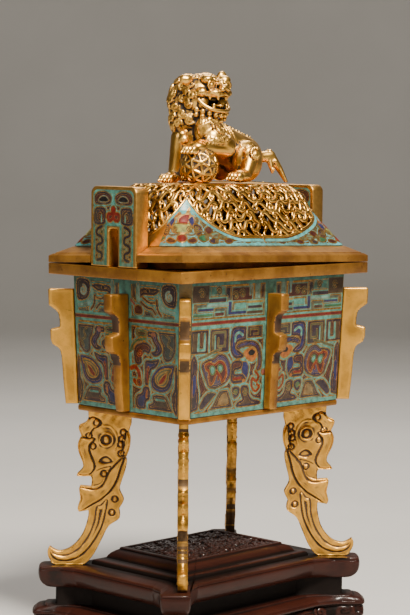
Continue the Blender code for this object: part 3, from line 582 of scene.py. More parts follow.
def wood_finish(name, light):
    """Waxed dark red hardwood with fine straight grain, darker in its carving as painted shade in its hollows."""
    finish = Finish(name, Specular_IOR_Level=0.15, Coat_Roughness=0.10)
    grain = finish.noise(0.0035, 6, 0.6, (0.12, 1.0, 1.0))
    pores = finish.noise(0.0009, 4, 0.7, (0.10, 1.0, 1.0))
    broad = finish.noise(0.05, 3)
    colour = finish.mix(grain.between(0.35, 0.68), (0.008, 0.003, 0.002), light)
    colour = finish.mix(broad.between(0.45, 0.7) * 0.6, colour, (0.040, 0.008, 0.004))
    sunk = finish.attribute("hollow")
    # painted shade: darker in the carving's hollows and sheltered places; lighter on ridges
    colour = finish.mix(sunk.between(0.05, 0.7), colour, (0.006, 0.003, 0.002))
    colour = finish.mix((0 - sunk).between(0.3, 0.9) * 0.4, colour, (0.05, 0.012, 0.006))
    finish.feed(Base_Color=colour)
    finish.feed(Roughness=(0.46 + 0.25 * (pores - 0.5) + 0.2 * sunk.between(0.0, 0.6)).clamp())
    finish.feed(Coat_Weight=0.22 * (1 - sunk.between(0.0, 0.3)))
    finish.bump(pores * 0.5 + grain * 0.5, 0.00018)
    return finish.material


def stored_finish(name, make):
    """The finish of that name, made the first time it is asked for."""
    return bpy.data.materials.get(name) or make(name)


def chosen_colour(setting):
    return tuple(getattr(bpy.context.scene.ding_colours, setting))


def bright_gilt():
    return stored_finish("matt_gilding", lambda name: gilt_finish(
        name, chosen_colour("gilding"), (0.58, 0.28, 0.042), (0.06, 0.030, 0.012),
        0.40, 0.00026, 0.55, True, 0.95))


def worn_gilt():
    return stored_finish("worn_gilding", lambda name: gilt_finish(
        name, chosen_colour("worn_gilding"), (0.26, 0.105, 0.018), (0.035, 0.015, 0.007),
        0.42, 0.00016, 0.7, True, 0.75))


def aged_bronze():
    return stored_finish("aged_bronze", lambda name: gilt_finish(
        name, (0.20, 0.16, 0.09), (0.10, 0.11, 0.08), (0.03, 0.025, 0.02), 0.5, 0.0002, 0.6))


def glossy_gilt():
    return stored_finish("rubbed_gilding", lambda name: gilt_finish(
        name, (0.93, 0.54, 0.12), (0.60, 0.29, 0.045), (0.022, 0.012, 0.006), 0.33, 0.00008, 0.4, True))


def enamel():
    return stored_finish("cloisonne_enamel", enamel_finish)


def hardwood():
    return stored_finish("waxed_hardwood", lambda name: wood_finish(name, chosen_colour("hardwood")))


# Cloisonne drawing, in millimetres on a flat panel

TURQUOISE = (0.080, 0.235, 0.190)
SKY = (0.085, 0.330, 0.330)
PLUM = (0.030, 0.018, 0.026)
NAVY = (0.022, 0.022, 0.080)
MAROON = (0.060, 0.018, 0.014)
RED = (0.165, 0.014, 0.007)
GREEN = (0.030, 0.110, 0.050)
OLIVE = (0.085, 0.078, 0.034)
YELLOW = (0.260, 0.170, 0.040)
ORANGE = (0.300, 0.090, 0.018)
BROWN = (0.062, 0.036, 0.020)
PALE = (0.150, 0.260, 0.215)
PINK = (0.220, 0.065, 0.055)
BLACK = (0.012, 0.010, 0.010)
DARK_RED = (0.13, 0.012, 0.007)


class Panel:
    """Enamel cells drawn over each other on scattered places, each cell fenced by a gilt wire."""

    def __init__(self, x, y, ground=TURQUOISE):
        self.x, self.y = x, y
        self.tint = np.tile(np.array(ground), (len(x), 1))
        self.wire = np.full(len(x), 5.0)
        self.bare = np.ones(len(x), bool)

    def near(self, low, high, margin):
        """The places in a box, so that a small cell costs little."""
        held = (self.x > low[0] - margin) & (self.x < high[0] + margin)
        return held & (self.y > low[1] - margin) & (self.y < high[1] + margin)

    def lay(self, held, gap, bands):
        """Lays one cell where gap is negative. Bands are (depth, colour), each behind a wire of its own."""
        tint, wire = self.tint[held], self.wire[held]
        inside = gap < 0
        fence = np.abs(gap)
        for depth, _ in bands[1:]:
            fence = np.minimum(fence, np.abs(gap + depth))
        wire = np.where(inside, fence, np.minimum(wire, fence))
        for depth, colour in bands:
            tint[gap < -depth] = colour
        self.tint[held], self.wire[held] = tint, wire
        self.bare[held] &= ~inside

    def fill(self, channel, field, *bands):
        """Dark cells wherever bare ground is further than channel from a wire, inside the field (x0, x1, y0, y1)."""
        within = (self.x - field[0], field[1] - self.x, self.y - field[2], field[3] - self.y)
        edge = np.minimum.reduce(within)
        held = self.bare & (edge > -1)
        self.lay(held, channel - np.minimum(self.wire[held], edge[held]), bands)

    def cell(self, points, *bands, corners=(), steps=4, grow=0.45):
        """A cell with a curved outline, sharp at the numbered corners, grown a little all round."""
        loop = smooth_loop(points, corners, steps) if steps > 1 else np.array(points, float)
        held = self.near(loop.min(0), loop.max(0), 3)
        if held.any():
            self.lay(held, loop_gap(self.x[held], self.y[held], [loop])[0] - grow, bands)

    def ribbon(self, points, half, *bands, steps=5, close=False):
        """A curved band of one width along a line of points."""
        path = smooth_path(points, steps) if steps > 1 else np.array(points, float)
        held = self.near(path.min(0), path.max(0), half + 3)
        if held.any():
            self.lay(held, path_gap(self.x[held], self.y[held], path, close) - half, bands)

    def round(self, centre, radius, *bands):
        held = self.near(np.array(centre), np.array(centre), radius + 3)
        if held.any():
            self.lay(held, np.hypot(self.x[held] - centre[0], self.y[held] - centre[1]) - radius, bands)

    def curl(self, centre, radius, start, turns, half, *bands):
        """A spiral ribbon that winds inwards from radius."""
        turn = np.linspace(0, 1, 22)
        angle = math.radians(start) + 2 * np.pi * turns * turn
        reach = radius * (1 - 0.82 * turn)
        path = np.stack([centre[0] + reach * np.cos(angle), centre[1] + reach * np.sin(angle)], -1)
        self.ribbon(path, half, *bands, steps=1)

    def metal_beyond(self, gap):
        """Bare metal where gap is positive, stored as -1."""
        self.wire = np.where(gap > 0, -1.0, np.minimum(self.wire, np.abs(gap)))


def store_enamel(mesh, panel, spare=0):
    """Stores a drawing on the mesh, whose last spare points are hidden metal."""
    tint = np.c_[panel.tint, np.ones(len(panel.tint))]
    set_attribute(mesh, "enamel_tint", np.vstack([tint, np.full((spare, 4), 0.1)]), "FLOAT_COLOR")
    set_attribute(mesh, "wire_gap", np.concatenate([panel.wire, np.zeros(spare)]))


def dark_cell(inner):
    return ((0.0, OLIVE), (0.55, PLUM), (2.4, inner))


def draw_long_side(panel):
    """One half of a long side: a mask of hooks, an eye and a jewelled cheek. x grows away from the middle."""
    for x0, x1, y0, y1, colour in (
        (66, 84, 84, 97, BROWN), (48, 67, 83.5, 87, PLUM), (45, 68, 80.5, 83, PALE), (61, 78, 77.5, 80, NAVY),
        (42, 46, 73.5, 84, NAVY), (27, 39, 77, 81.5, TURQUOISE), (26, 45, 73.6, 76.5, NAVY), (20, 42, 84, 94, MAROON),
        (8, 26, 81.3, 83.6, YELLOW), (9, 25, 77.2, 80, PLUM), (8, 26, 73.2, 76, BROWN), (50, 65, 89, 95, TURQUOISE),
        (50, 60, 73.5, 76.5, MAROON), (62, 83, 73.5, 76, GREEN), (12, 17, 85, 96, PALE), (21, 24, 87, 96, PALE),
    ):
        panel.cell([(x0, y0), (x1, y0), (x1, y1), (x0, y1)], (0, colour), steps=1, grow=-0.35)
    for centre in ((31, 89), (38, 88), (56, 92), (74, 91)):
        panel.curl(centre, 3.2, 30, 1.5, 0.75, (0, OLIVE))
    panel.cell([(5, 67.8), (85, 67.8), (85, 69.5), (5, 69.5)], (0, DARK_RED), steps=1)
    fret = ((0, OLIVE), (0.8, PLUM))
    panel.cell([(66, 47), (84, 47), (83.5, 64), (66, 64)], *dark_cell(BROWN), corners=(0, 1, 2, 3), steps=2)
    panel.ribbon([(76, 61), (76, 49.5), (69.5, 49.5), (69.5, 61)], 1.2, (0, TURQUOISE), steps=1)
    panel.ribbon([(72.8, 62), (72.8, 53)], 0.7, (0, MAROON), steps=1)
    panel.cell([(44, 46.5), (63.5, 46.5), (63.5, 64), (44, 64)], *fret, corners=(0, 1, 2, 3), steps=2)
    panel.ribbon([(61, 49), (61, 61.5), (48, 61.5), (48, 51), (55, 51), (55, 57)], 0.9, (0, OLIVE), steps=1)
    panel.ribbon([(58.5, 47), (58.5, 59)], 0.8, (0, TURQUOISE), steps=1)
    panel.cell([(25.5, 54), (25.5, 64), (38, 64.5), (41.5, 60), (41.5, 47), (36, 41), (27, 41.5), (30, 45), (34, 47.5),
                (34.5, 53)], *dark_cell(NAVY), corners=(0, 1), steps=3)
    panel.ribbon([(29, 58), (33, 60), (36.5, 58.5), (37, 54)], 1.0, (0, TURQUOISE))
    panel.cell([(8, 55.5), (23.5, 55.5), (23.5, 64), (8, 64)], *fret, corners=(0, 1, 2, 3), steps=2)
    panel.ribbon([(21, 58), (21, 62), (12, 62), (12, 58), (17, 58)], 0.7, (0, OLIVE), steps=1)
    panel.ribbon([(33.5, 49.5), (29, 50.8), (20, 51.2), (13, 48.5), (9.8, 42), (9.5, 34), (11, 32)], 2.7,
                 (0, OLIVE), (0.8, PLUM), (2.0, NAVY))
    panel.cell([(27.5, 44.5), (24, 47), (18, 48), (13.5, 45), (13, 40.5), (17, 37.5), (23, 39)],
               (0, YELLOW), (0.9, ORANGE))
    panel.cell([(22, 44.2), (19, 46.2), (15.2, 44.6), (16.5, 42.6), (20, 42.3)], (0, BLACK))
    panel.cell([(29.5, 37), (24, 37.5), (21.5, 33), (22.5, 26), (26, 25), (28, 29)], (0, OLIVE), (0.7, NAVY))
    panel.cell([(39, 38.5), (29.5, 38.5), (29.5, 33), (36, 32), (36, 29), (27.5, 28.5), (24.5, 23), (39, 22.5),
                (40.5, 30)], *dark_cell(MAROON), steps=3)
    panel.ribbon([(37, 25.5), (30, 25.5)], 0.9, (0, RED), steps=1)
    panel.round((26.3, 23.5), 1.3, (0, ORANGE))
    cheek = [(72, 39), (66, 42), (60, 42.5), (54, 45.5), (47, 44), (42, 38), (40.5, 31), (43.5, 24.5), (50, 21.5),
             (57, 20), (64, 21.5), (67, 26), (70, 32)]
    panel.cell(cheek, (0, OLIVE), (0.8, PLUM), (2.0, NAVY), (3.4, (0.060, 0.045, 0.085)))
    panel.ribbon([(75, 43), (66, 45.3), (60, 47.2), (52, 49)], 1.0, (0, OLIVE))
    jewel = [(68.5, 38), (63.5, 40), (58.5, 38.3), (53.5, 40.5), (48, 38.5), (45, 32), (46.5, 26), (50, 24), (52, 28),
             (55.5, 30.5), (58.5, 24.5), (62, 23), (64.5, 28), (64.5, 32.5), (67, 34.5)]
    panel.cell(jewel, (0, YELLOW), (0.5, RED), (1.9, MAROON))
    panel.cell([(63, 36), (60, 37), (57.5, 34.5), (58.5, 31), (61.5, 31)], (0, GREEN), (1.2, TURQUOISE))
    panel.cell([(54, 37), (50.5, 36.5), (49.5, 33.5), (52, 31.8), (54.5, 34)], (0, GREEN), (1.2, TURQUOISE))
    panel.ribbon([(56, 33), (53.5, 29), (54, 26.5)], 0.8, (0, RED))
    panel.cell([(83, 42), (80, 46), (76.5, 40), (76.5, 28), (74, 17), (74.5, 6), (82.5, 4), (83, 20)],
               *dark_cell(PLUM), corners=(0, 5, 6), steps=3)
    panel.cell([(80, 30), (77.5, 30), (77.5, 20), (80, 16)], (0, NAVY), steps=3)
    panel.cell([(72.5, 9), (65, 17.2), (55.5, 16), (61, 11.5), (70, 5)], *fret, steps=3)
    panel.cell([(52, 17.5), (43.5, 18), (38, 5), (62, 4.5), (58, 8.5)], (0, OLIVE), (0.8, PLUM), (2.2, BROWN),
               corners=(0, 1, 2, 3), steps=2)
    panel.cell([(49.5, 14), (45, 14.5), (42.5, 8), (53, 7.7)], (0, (0.200, 0.120, 0.045)), steps=2)
    panel.cell([(38.8, 19), (30.8, 19), (30.8, 13), (35.5, 10.5), (37.5, 13)], *fret, steps=3)
    panel.curl((34.5, 15.2), 2.2, 0, 1.3, 0.6, (0, GREEN))
    panel.cell([(28.5, 19.5), (21.5, 19), (20, 13), (16, 8.5), (9, 7), (9, 4.2), (33, 4.2), (31.5, 8),
                (27, 9.5), (28.8, 14)], *dark_cell(BROWN), steps=3)
    panel.curl((24.5, 14.5), 2.6, 90, 1.4, 0.7, (0, OLIVE))
    panel.ribbon([(14, 29.5), (10.2, 25.5), (12.5, 22), (17, 24.5), (17.3, 18.5), (13, 14.5), (9, 17.5), (11.5, 19.5)],
                 1.25, (0, YELLOW), (0.45, RED))
    panel.round((5.2, 28.5), 2.6, (0, YELLOW), (0.6, PINK))
    panel.fill(1.15, (5.4, 83.2, 2.0, 66.0), (0, OLIVE), (0.5, PLUM), (1.7, MAROON))
    panel.fill(1.0, (5.4, 83.2, 70.8, 97.0), (0, OLIVE), (0.5, (0.060, 0.075, 0.060)), (1.5, PLUM))


def draw_short_side(panel):
    """One half of a short side: scrolling hooks round an oval eye. x grows away from the middle."""
    panel.cell([(40, 96), (52.5, 96), (52.5, 82), (47, 80.5), (41, 83), (38.5, 89)], *dark_cell(PLUM), steps=3)
    panel.curl((46, 88), 4.0, 90, 1.4, 0.9, (0, (0.20, 0.30, 0.24)))
    panel.cell([(36, 93), (17, 93), (15.5, 86), (20, 88.5), (30, 88.5)], *dark_cell(BROWN), steps=3)
    panel.round((24, 91.4), 1.7, (0, (0.012, 0.01, 0.01)))
    panel.ribbon([(37, 90), (36.3, 84), (38.5, 79.5), (44, 77.5), (51, 76.5)], 1.0, (0, PALE))
    panel.ribbon([(33, 85), (34, 78), (37.5, 74)], 1.3, (0, OLIVE), (0.6, MAROON))
    panel.ribbon([(17, 82.5), (23, 79), (28, 78.4), (31.5, 75)], 1.3, (0, OLIVE), (0.6, PLUM))
    panel.ribbon([(19, 86), (25, 83), (31, 83)], 1.1, (0, OLIVE), (0.5, MAROON))
    panel.cell([(17.5, 74), (10, 74), (10, 79), (13.5, 80.5), (17.5, 79)], (0, OLIVE), (0.8, MAROON), steps=3)
    panel.ribbon([(13.7, 96), (14.4, 84)], 1.5, (0, PALE))
    panel.ribbon([(6, 84), (9.5, 81)], 1.0, (0, PINK))
    panel.cell([(4, 67.7), (55, 67.7), (55, 69.4), (4, 69.4)], (0, DARK_RED), steps=1)
    panel.cell([(34.5, 62), (52, 62), (52, 50), (48.5, 43), (43.5, 40.5), (39, 43), (39, 51), (36.5, 55)],
               (0, OLIVE), (0.8, PLUM), (2.2, (0.050, 0.060, 0.050)), corners=(0, 1), steps=3)
    panel.ribbon([(42, 60), (46, 57), (44, 52.5), (48, 50), (46, 45.5)], 0.7, (0, OLIVE))
    panel.cell([(23.5, 61.5), (32.5, 61.5), (33.5, 56.5), (37, 52.5), (38, 48), (34, 44.3), (29.5, 43.6), (26.5, 46),
                (30.5, 47.5), (31.5, 50.5), (29, 53.5), (27, 57), (23.5, 57.5)], *dark_cell(NAVY), steps=3)
    panel.curl((28.8, 59), 1.9, 0, 1.2, 0.55, (0, PINK))
    panel.cell([(12, 62), (21.5, 62), (21.5, 57.5), (12, 57.5)], (0, OLIVE), (0.8, GREEN), (1.9, BROWN), steps=2)
    panel.ribbon([(21, 56), (13, 54.5), (8, 51), (5.2, 46)], 1.5, (0, OLIVE), (0.7, GREEN))
    panel.cell([(26.5, 50), (21, 53.3), (14.5, 52.2), (9.5, 49), (8.6, 43), (10, 37.5), (13, 36), (16.5, 38),
                (16.5, 42), (19.5, 46), (24, 45)], *dark_cell(MAROON), steps=4)
    panel.curl((14.8, 45), 2.7, 200, 1.3, 0.75, (0, RED))
    panel.ribbon([(5.5, 33), (9.5, 34.2), (13, 31), (14, 26.5), (11.5, 22), (8.5, 24)], 1.9, (0, YELLOW), (0.5, RED))
    panel.round((13.6, 23), 3.3, (0, YELLOW), (0.6, RED), (1.9, MAROON))
    panel.cell([(35, 41.5), (27, 40), (20.5, 39.5), (19.8, 31), (20, 22), (23, 22), (24.5, 28), (26.5, 33),
                (31.5, 35.5)], *dark_cell(NAVY), steps=4)
    panel.ribbon([(23.5, 35), (22.3, 29), (22.4, 24)], 0.8, (0, RED))
    eye = [(50.5, 38), (44, 38.2), (36, 36.5), (29, 31), (26, 25), (28, 19.5), (35, 17.5), (42, 18.5), (46.5, 23),
           (48.5, 30)]
    panel.cell(eye, (0, OLIVE), (0.8, NAVY), (2.6, PLUM))
    panel.cell([(47.5, 35), (40, 34.8), (33, 31), (30.5, 26), (34, 22.5), (40, 22.5), (43.5, 26.5), (44.5, 31)],
               (0, YELLOW), (0.6, OLIVE), (2.0, YELLOW), (2.9, OLIVE))
    panel.cell([(42.5, 31.5), (38.5, 29.5), (34.3, 24.8), (35.5, 23.3), (39.5, 26)], (0, YELLOW), (0.45, RED), steps=3)
    panel.cell([(53, 37), (51, 33), (50.5, 22), (47.5, 15), (49, 5), (53, 4)], *dark_cell(MAROON), steps=3)
    panel.cell([(24, 20), (18.5, 20), (16, 15.5), (10.5, 12.5), (10.5, 4), (19.5, 4), (20.5, 9), (24.5, 12)],
               *dark_cell(NAVY), steps=3)
    panel.ribbon([(21.5, 17), (20.8, 13)], 0.9, (0, ORANGE))
    panel.cell([(41, 14.5), (33, 15.2), (27.5, 14), (28, 9.5), (23, 7.3), (23, 3.8), (48, 3.8), (45, 8.5)],
               (0, OLIVE), (0.8, PLUM), (2.2, BROWN), corners=(4, 5, 6), steps=3)
    panel.ribbon([(29, 6), (42, 6)], 0.7, (0, MAROON), steps=1)
    panel.ribbon([(31, 11.5), (40, 11.5)], 0.8, (0, TURQUOISE), steps=1)
    panel.fill(1.15, (5.4, 52.6, 2.0, 66.0), (0, OLIVE), (0.5, PLUM), (1.7, BROWN))
    panel.fill(1.3, (5.4, 52.6, 70.8, 97.0), (0, OLIVE), (0.5, (0.060, 0.080, 0.060)), (1.5, PLUM))


def side_sheet(name, axis, sign, draw, spacing):
    """A thin enamelled sheet over one side of the body, drawn on a fine grid, with painted shade under the rim."""
    other = 1 - axis
    half_low, half_high = BODY_FOOT[axis] - CORNER_FLAT, BODY_TOP[axis] - CORNER_FLAT
    columns = int(2 * half_high / spacing) + 1
    rows = int(BODY_HEIGHT / spacing) + 1
    across, up = np.meshgrid(np.linspace(-1, 1, columns), np.linspace(0, 1, rows))
    across, up = across.ravel(), up.ravel()
    along = across * (half_low + (half_high - half_low) * up)
    wall = BODY_FOOT[other] + (BODY_TOP[other] - BODY_FOOT[other]) * up
    z = BODY_Z + ENAMEL_SUNK + up * (BODY_HEIGHT - 2 * ENAMEL_SUNK)
    layers = []
    for out in (ENAMEL_PROUD, -ENAMEL_SUNK):
        away = sign * (wall + out)
        layers.append(place_vessel(along, away, z) if axis == 0 else place_vessel(away, along, z))
    points, faces = backed_sheet(*layers, rows, columns)
    panel = Panel(np.abs(along) / MM, up * BODY_HEIGHT / MM)
    draw(panel)
    # painted shade: the enamel is darkened towards the top, where the rim's shadow falls
    panel.tint *= (1 - 0.45 * np.exp(-(1 - up) * BODY_HEIGHT / 0.008))[:, None]
    mesh = array_mesh(name, points, faces)
    store_enamel(mesh, panel, len(points) - rows * columns)
    finish_piece(name, mesh, enamel())


# Legs and flanges; the leg's drawing is in thousandths of its height, from the corner outwards and up from the foot

LEG_OUTLINE = np.array([
    (-58, 1000), (-60, 950), (-42, 920), (-2, 901), (0, 875), (-17, 831), (-6, 819), (8, 779), (1, 727), (-25, 660),
    (-22, 623), (12, 585), (-3, 574), (-74, 575), (-83, 556), (-78, 504), (-8, 510), (-2, 489), (-9, 429), (7, 370),
    (-2, 344), (-63, 355), (-60, 310), (-35, 221), (5, 153), (57, 105), (115, 84), (153, 92), (186, 115), (197, 91),
    (193, 54), (167, 9), (138, 0), (-10, 0), (-47, 11), (-99, 71), (-150, 169), (-193, 252), (-255, 297), (-265, 327),
    (-258, 365), (-284, 409), (-287, 431), (-266, 476), (-265, 513), (-298, 618), (-307, 671), (-300, 699),
    (-309, 714), (-326, 767), (-329, 826), (-318, 863), (-329, 900), (-335, 922), (-335, 1000),
]) / 1000
LEG_CORNERS = {0, 1, 5, 13, 15, 16, 20, 21, 28, 32, 33, 40, 47, 51, 54}
LEG_FIN = np.array([
    (-283, 691), (-260, 614), (-240, 551), (-202, 483), (-140, 426), (-64, 380), (-4, 344), (-1, 387), (-18, 436),
    (-8, 475), (-13, 500), (-49, 492), (-98, 485), (-140, 501), (-167, 539), (-194, 599), (-236, 649),
]) / 1000
LEG_SIDE_LOBE = np.array([
    (-16, 814), (-54, 814), (-96, 815), (-69, 781), (-63, 742), (-83, 690), (-97, 648), (-91, 613), (-63, 584),
    (-21, 583), (2, 596), (-28, 640), (-17, 703), (0, 767),
]) / 1000
LEG_TOP_LOBE = np.array([
    (-64, 938), (-95, 951), (-137, 921), (-116, 894), (-89, 880), (-54, 830), (-23, 834), (-5, 879), (-8, 893),
    (-40, 911),
]) / 1000
LEG_BACK_LOBE = np.array([
    (-304, 860), (-322, 818), (-319, 762), (-298, 712), (-273, 719), (-287, 768), (-280, 804), (-297, 825),
]) / 1000
LEG_TAIL_RIB = np.array([
    (-181, 420), (-140, 385), (-115, 370), (-99, 275), (-58, 176), (5, 97), (81, 58), (151, 68), (179, 96), (171, 61),
    (137, 33), (74, 26), (-9, 55), (-79, 126), (-141, 232), (-168, 324),
]) / 1000
LEG_MOUTH = np.array([(-128, 675), (-173, 706), (-216, 670), (-194, 657), (-166, 652), (-145, 659)]) / 1000
LEG_RECESS = np.array([
    (-84, 578), (-111, 613), (-166, 635), (-208, 642), (-194, 614), (-173, 606), (-166, 571), (-146, 528), (-98, 508),
    (-80, 508),
]) / 1000
LEG_STUDS = np.array([
    (-113, 921), (-64, 835), (-90, 768), (-283, 860), (-274, 816), (-268, 783), (-270, 723), (-160, 591), (-232, 427),
    (-213, 339),
]) / 1000
LEG_EYE = np.array((-174, 810)) / 1000
LEG_BROW = np.array([(-225, 740), (-245, 810), (-210, 885), (-150, 900)]) / 1000
LEG_GROOVE = 0.0006
LEG_BEND = {"left": 0.0, "front": 0.035, "right": 0.072, "back": 0.035}


def raised(gap, height, slope):
    """A raised field with a sloped edge, from the signed distance to its outline."""
    return height * np.clip(-gap / slope + 0.5, 0, 1)


def leg_relief(across, up):
    """The carving of a dragon leg's face, in metres of height."""
    def field(shares):
        return loop_gap(across, up, [smooth_loop(shares, (), 4) * LEG_HEIGHT])[0]

    height = -0.0010 + 0 * across
    rib = field(LEG_TAIL_RIB)
    height += raised(rib, 0.0008, 0.0014) - 0.0007 * ridge(rib, LEG_GROOVE)
    height -= 0.0007 * ridge(rib + 0.0034, LEG_GROOVE)
    for lobe, rise in ((LEG_SIDE_LOBE, 0.0007), (LEG_TOP_LOBE, 0.0006), (LEG_BACK_LOBE, 0.0006), (LEG_FIN, 0.0010)):
        gap = field(lobe)
        height = np.where(gap < 0.0004, np.maximum(height, -0.0010 + raised(gap, rise, 0.0014)), height)
        height -= 0.0011 * ridge(gap - 0.0004, LEG_GROOVE) + 0.0004 * np.clip(-gap / 0.004, 0, 1)
    height -= raised(field(LEG_MOUTH), 0.0014, 0.0006)
    height -= raised(field(LEG_RECESS), 0.0007, 0.0006)
    for stud_x, stud_z in LEG_STUDS:
        gap = np.hypot(across - stud_x * LEG_HEIGHT, up - stud_z * LEG_HEIGHT)
        height += 0.0011 * bead(gap, 0.0018)
        height -= 0.0007 * ridge(gap - 0.0024, LEG_GROOVE)
    eye = np.hypot(across - LEG_EYE[0] * LEG_HEIGHT, up - LEG_EYE[1] * LEG_HEIGHT)
    height += 0.0008 * ridge(eye - 0.0050, 0.0007)
    height += 0.0011 * bead(eye, 0.0024)
    height -= 0.0008 * ridge(eye - 0.0034, 0.0007)
    brow = path_gap(across, up, smooth_path(LEG_BROW) * LEG_HEIGHT)
    height += 0.0004 * ridge(brow, 0.0007)
    height += 0.00028 * np.sin(across / 0.0016 + 1.3 * np.sin(up / 0.0037)) * np.sin(up / 0.0029 + across / 0.006)
    return np.minimum(height, 0)


def add_leg(side, spacing):
    loop = smooth_loop(LEG_OUTLINE, LEG_CORNERS, 5) * LEG_HEIGHT
    points, faces, _ = plate_solid([loop], spacing, PLATE_THICK, 0.0006, leg_relief)
    sign_x, sign_y = SIDES[side]
    across = points[:, 0] - LEG_BEND[side] * (LEG_HEIGHT - points[:, 2])
    out_x, out_y = sign_x / math.sqrt(2), sign_y / math.sqrt(2)
    x = sign_x * CORNER[0] + across * out_x - points[:, 1] * out_y
    y = sign_y * CORNER[1] + across * out_y + points[:, 1] * out_x
    mesh = array_mesh(f"gilt_leg_{side}", place_vessel(x, y, LEG_Z + points[:, 2]), faces)
    finish_piece(mesh.name, mesh, bright_gilt(), [f"dragon_leg_{side}"])
    mark_hollows(mesh, 8, 0.0002)
    mark_edge(mesh, (out_x, out_y), 0.009, 0.0040)


def flange_loop(nose, neck, foot, lean):
    """The outline of a hooked flange, with two square noses over a slim stem."""
    top = 0.0875
    stem = [(foot, 0.0), (neck * 0.92, 0.20), (neck * 0.95, 0.355), (neck, 0.435), (neck * 1.12, 0.483),
            (nose * 0.93, 0.518), (nose, 0.566), (nose, 0.645), (neck * 1.02, 0.667), (neck, 0.707),
            (neck * 1.05, 0.776), (neck * 1.22, 0.815), (nose * 1.02, 0.861), (nose * 1.02, 0.993), (nose * 0.97, 1.0)]
    outline = [(across + lean * up * top, up * top) for across, up in stem]
    return np.array(outline + [(lean * top, top), (0.0, 0.0)])


def add_flange(name, at, direction, sizes, lean, finish, spacing):
    loop = smooth_loop(flange_loop(*sizes, lean), {0, 5, 6, 7, 8, 12, 13, 14, 15, 16}, 4)
    points, faces, _ = plate_solid([loop], spacing, PLATE_THICK, 0.0007)
    length = math.hypot(*direction)
    out_x, out_y = direction[0] / length, direction[1] / length
    x = at[0] + points[:, 0] * out_x - points[:, 1] * out_y
    y = at[1] + points[:, 0] * out_y + points[:, 1] * out_x
    mesh = array_mesh(f"gilt_{name}", place_vessel(x, y, BODY_Z + 0.0004 + points[:, 2]), faces)
    finish_piece(mesh.name, mesh, finish, [name])
    mark_hollows(mesh, 8, 0.0004, 0.007)
    mark_edge(mesh, (out_x, out_y), 0.010, 0.0055)


# Ears

EAR_HALF = 24.3
EAR_TALL = 59.0
EAR_THICK = 0.0125
EAR_ROUND = 5.5


def ear_loop():
    """The ear's outline: rounded shoulders, and a slot with a rounded head, open below."""
    loop = [(-EAR_HALF, 0.0)]
    for side, start in ((-1, 180), (1, 90)):
        for turn in np.radians(np.linspace(start, start - 90, 7)):
            across = side * (EAR_HALF - EAR_ROUND) + EAR_ROUND * math.cos(turn)
            loop.append((across, EAR_TALL - EAR_ROUND + EAR_ROUND * math.sin(turn)))
    loop += [(EAR_HALF, 0.0), (5.0, 0.0), (5.0, 26.2), (3.4, 28.0), (-3.4, 28.0), (-5.0, 26.2), (-5.0, 0.0)]
    return np.array(loop)


def draw_ear(panel):
    """One half of an ear's face: an eye, a petal of the red flower and a column of scrolls."""
    panel.cell([(2.2, 51.5), (7, 54.6), (14, 55), (19.3, 52.5), (19.8, 47), (16, 45.6), (9, 45.8), (3.5, 46.8)],
               (0, OLIVE), (0.7, PLUM), (2.0, MAROON))
    panel.cell([(5.0, 48.8), (8, 51.6), (13, 51.4), (16.0, 48.6), (12.5, 47.4), (7.5, 47.6)],
               (0, PALE), (0.7, BLACK))
    panel.cell([(0, 44.6), (1.8, 44.0), (2.6, 41.6), (2.2, 40.2), (5.6, 40.0), (7.4, 36.8), (5.6, 33.2), (2.6, 32.8),
                (0, 34.4), (-1, 34.4), (-1, 44)], (0, YELLOW), (0.5, RED), (2.9, MAROON))
    panel.cell([(8.5, 42.8), (17.5, 43.4), (20, 40.5), (20, 31.4), (9.5, 31.4), (8.5, 36)], *dark_cell(PLUM), steps=3)
    panel.curl((14, 37), 4.0, 90, 1.5, 0.8, (0, MAROON))
    panel.ribbon([(12.6, 38), (12.6, 33)], 0.7, (0, TURQUOISE), steps=1)
    panel.ribbon([(12.2, 29.4), (16.8, 27.4), (17.4, 23.8), (12.6, 21.6), (11.8, 17.6), (16.8, 15.6), (17.2, 11.8),
                  (12.4, 9.6), (12.6, 6.0), (16.4, 4.8)], 1.7, (0, OLIVE), (0.6, PLUM))
    for centre, colour in (((12.2, 25.4), GREEN), ((17.6, 19.4), MAROON), ((11.6, 13.4), GREEN), ((17.6, 8.0), BROWN)):
        panel.round(centre, 1.5, (0, OLIVE), (0.5, colour))
    panel.fill(0.8, (8.6, 20.2, 3.8, 31.0), (0, OLIVE), (0.5, BROWN))
    panel.fill(1.0, (1.0, 20.0, 31.5, 55.0), (0, OLIVE), (0.5, PLUM))
    panel.cell([(10, 1.2), (19, 1.2), (19, 3.2), (10, 3.2)], (0, PALE), steps=1)
    panel.tint[panel.y < 31] *= (0.72, 0.76, 0.66)
    beyond = [np.clip(place - (size - 7.7), 0, None) for place, size in ((panel.x, EAR_HALF), (panel.y, EAR_TALL))]
    corner = np.hypot(*beyond) - EAR_ROUND
    panel.metal_beyond(np.maximum(corner, panel.x - (EAR_HALF - 2.8)))
    panel.metal_beyond(np.minimum(6.4 - panel.x, 29.6 - panel.y))
    panel.metal_beyond(0.6 - panel.y)


def add_ear(name, sign, spacing):
    loop = ear_loop() * MM
    points, faces, depth = plate_solid([loop], spacing, EAR_THICK, 0.0009)
    x = sign * (RIM_HALF[0] - EAR_THICK / 2) + points[:, 1]
    mesh = array_mesh(f"enamelled_{name}", place_vessel(x, points[:, 0], RIM_TOP + 0.0003 + points[:, 2]), faces)
    panel = Panel(np.abs(points[:, 0]) / MM, points[:, 2] / MM)
    draw_ear(panel)
    panel.wire[depth < 0.0010] = -1
    store_enamel(mesh, panel)
    finish_piece(mesh.name, mesh, enamel(), [name])


# Cover

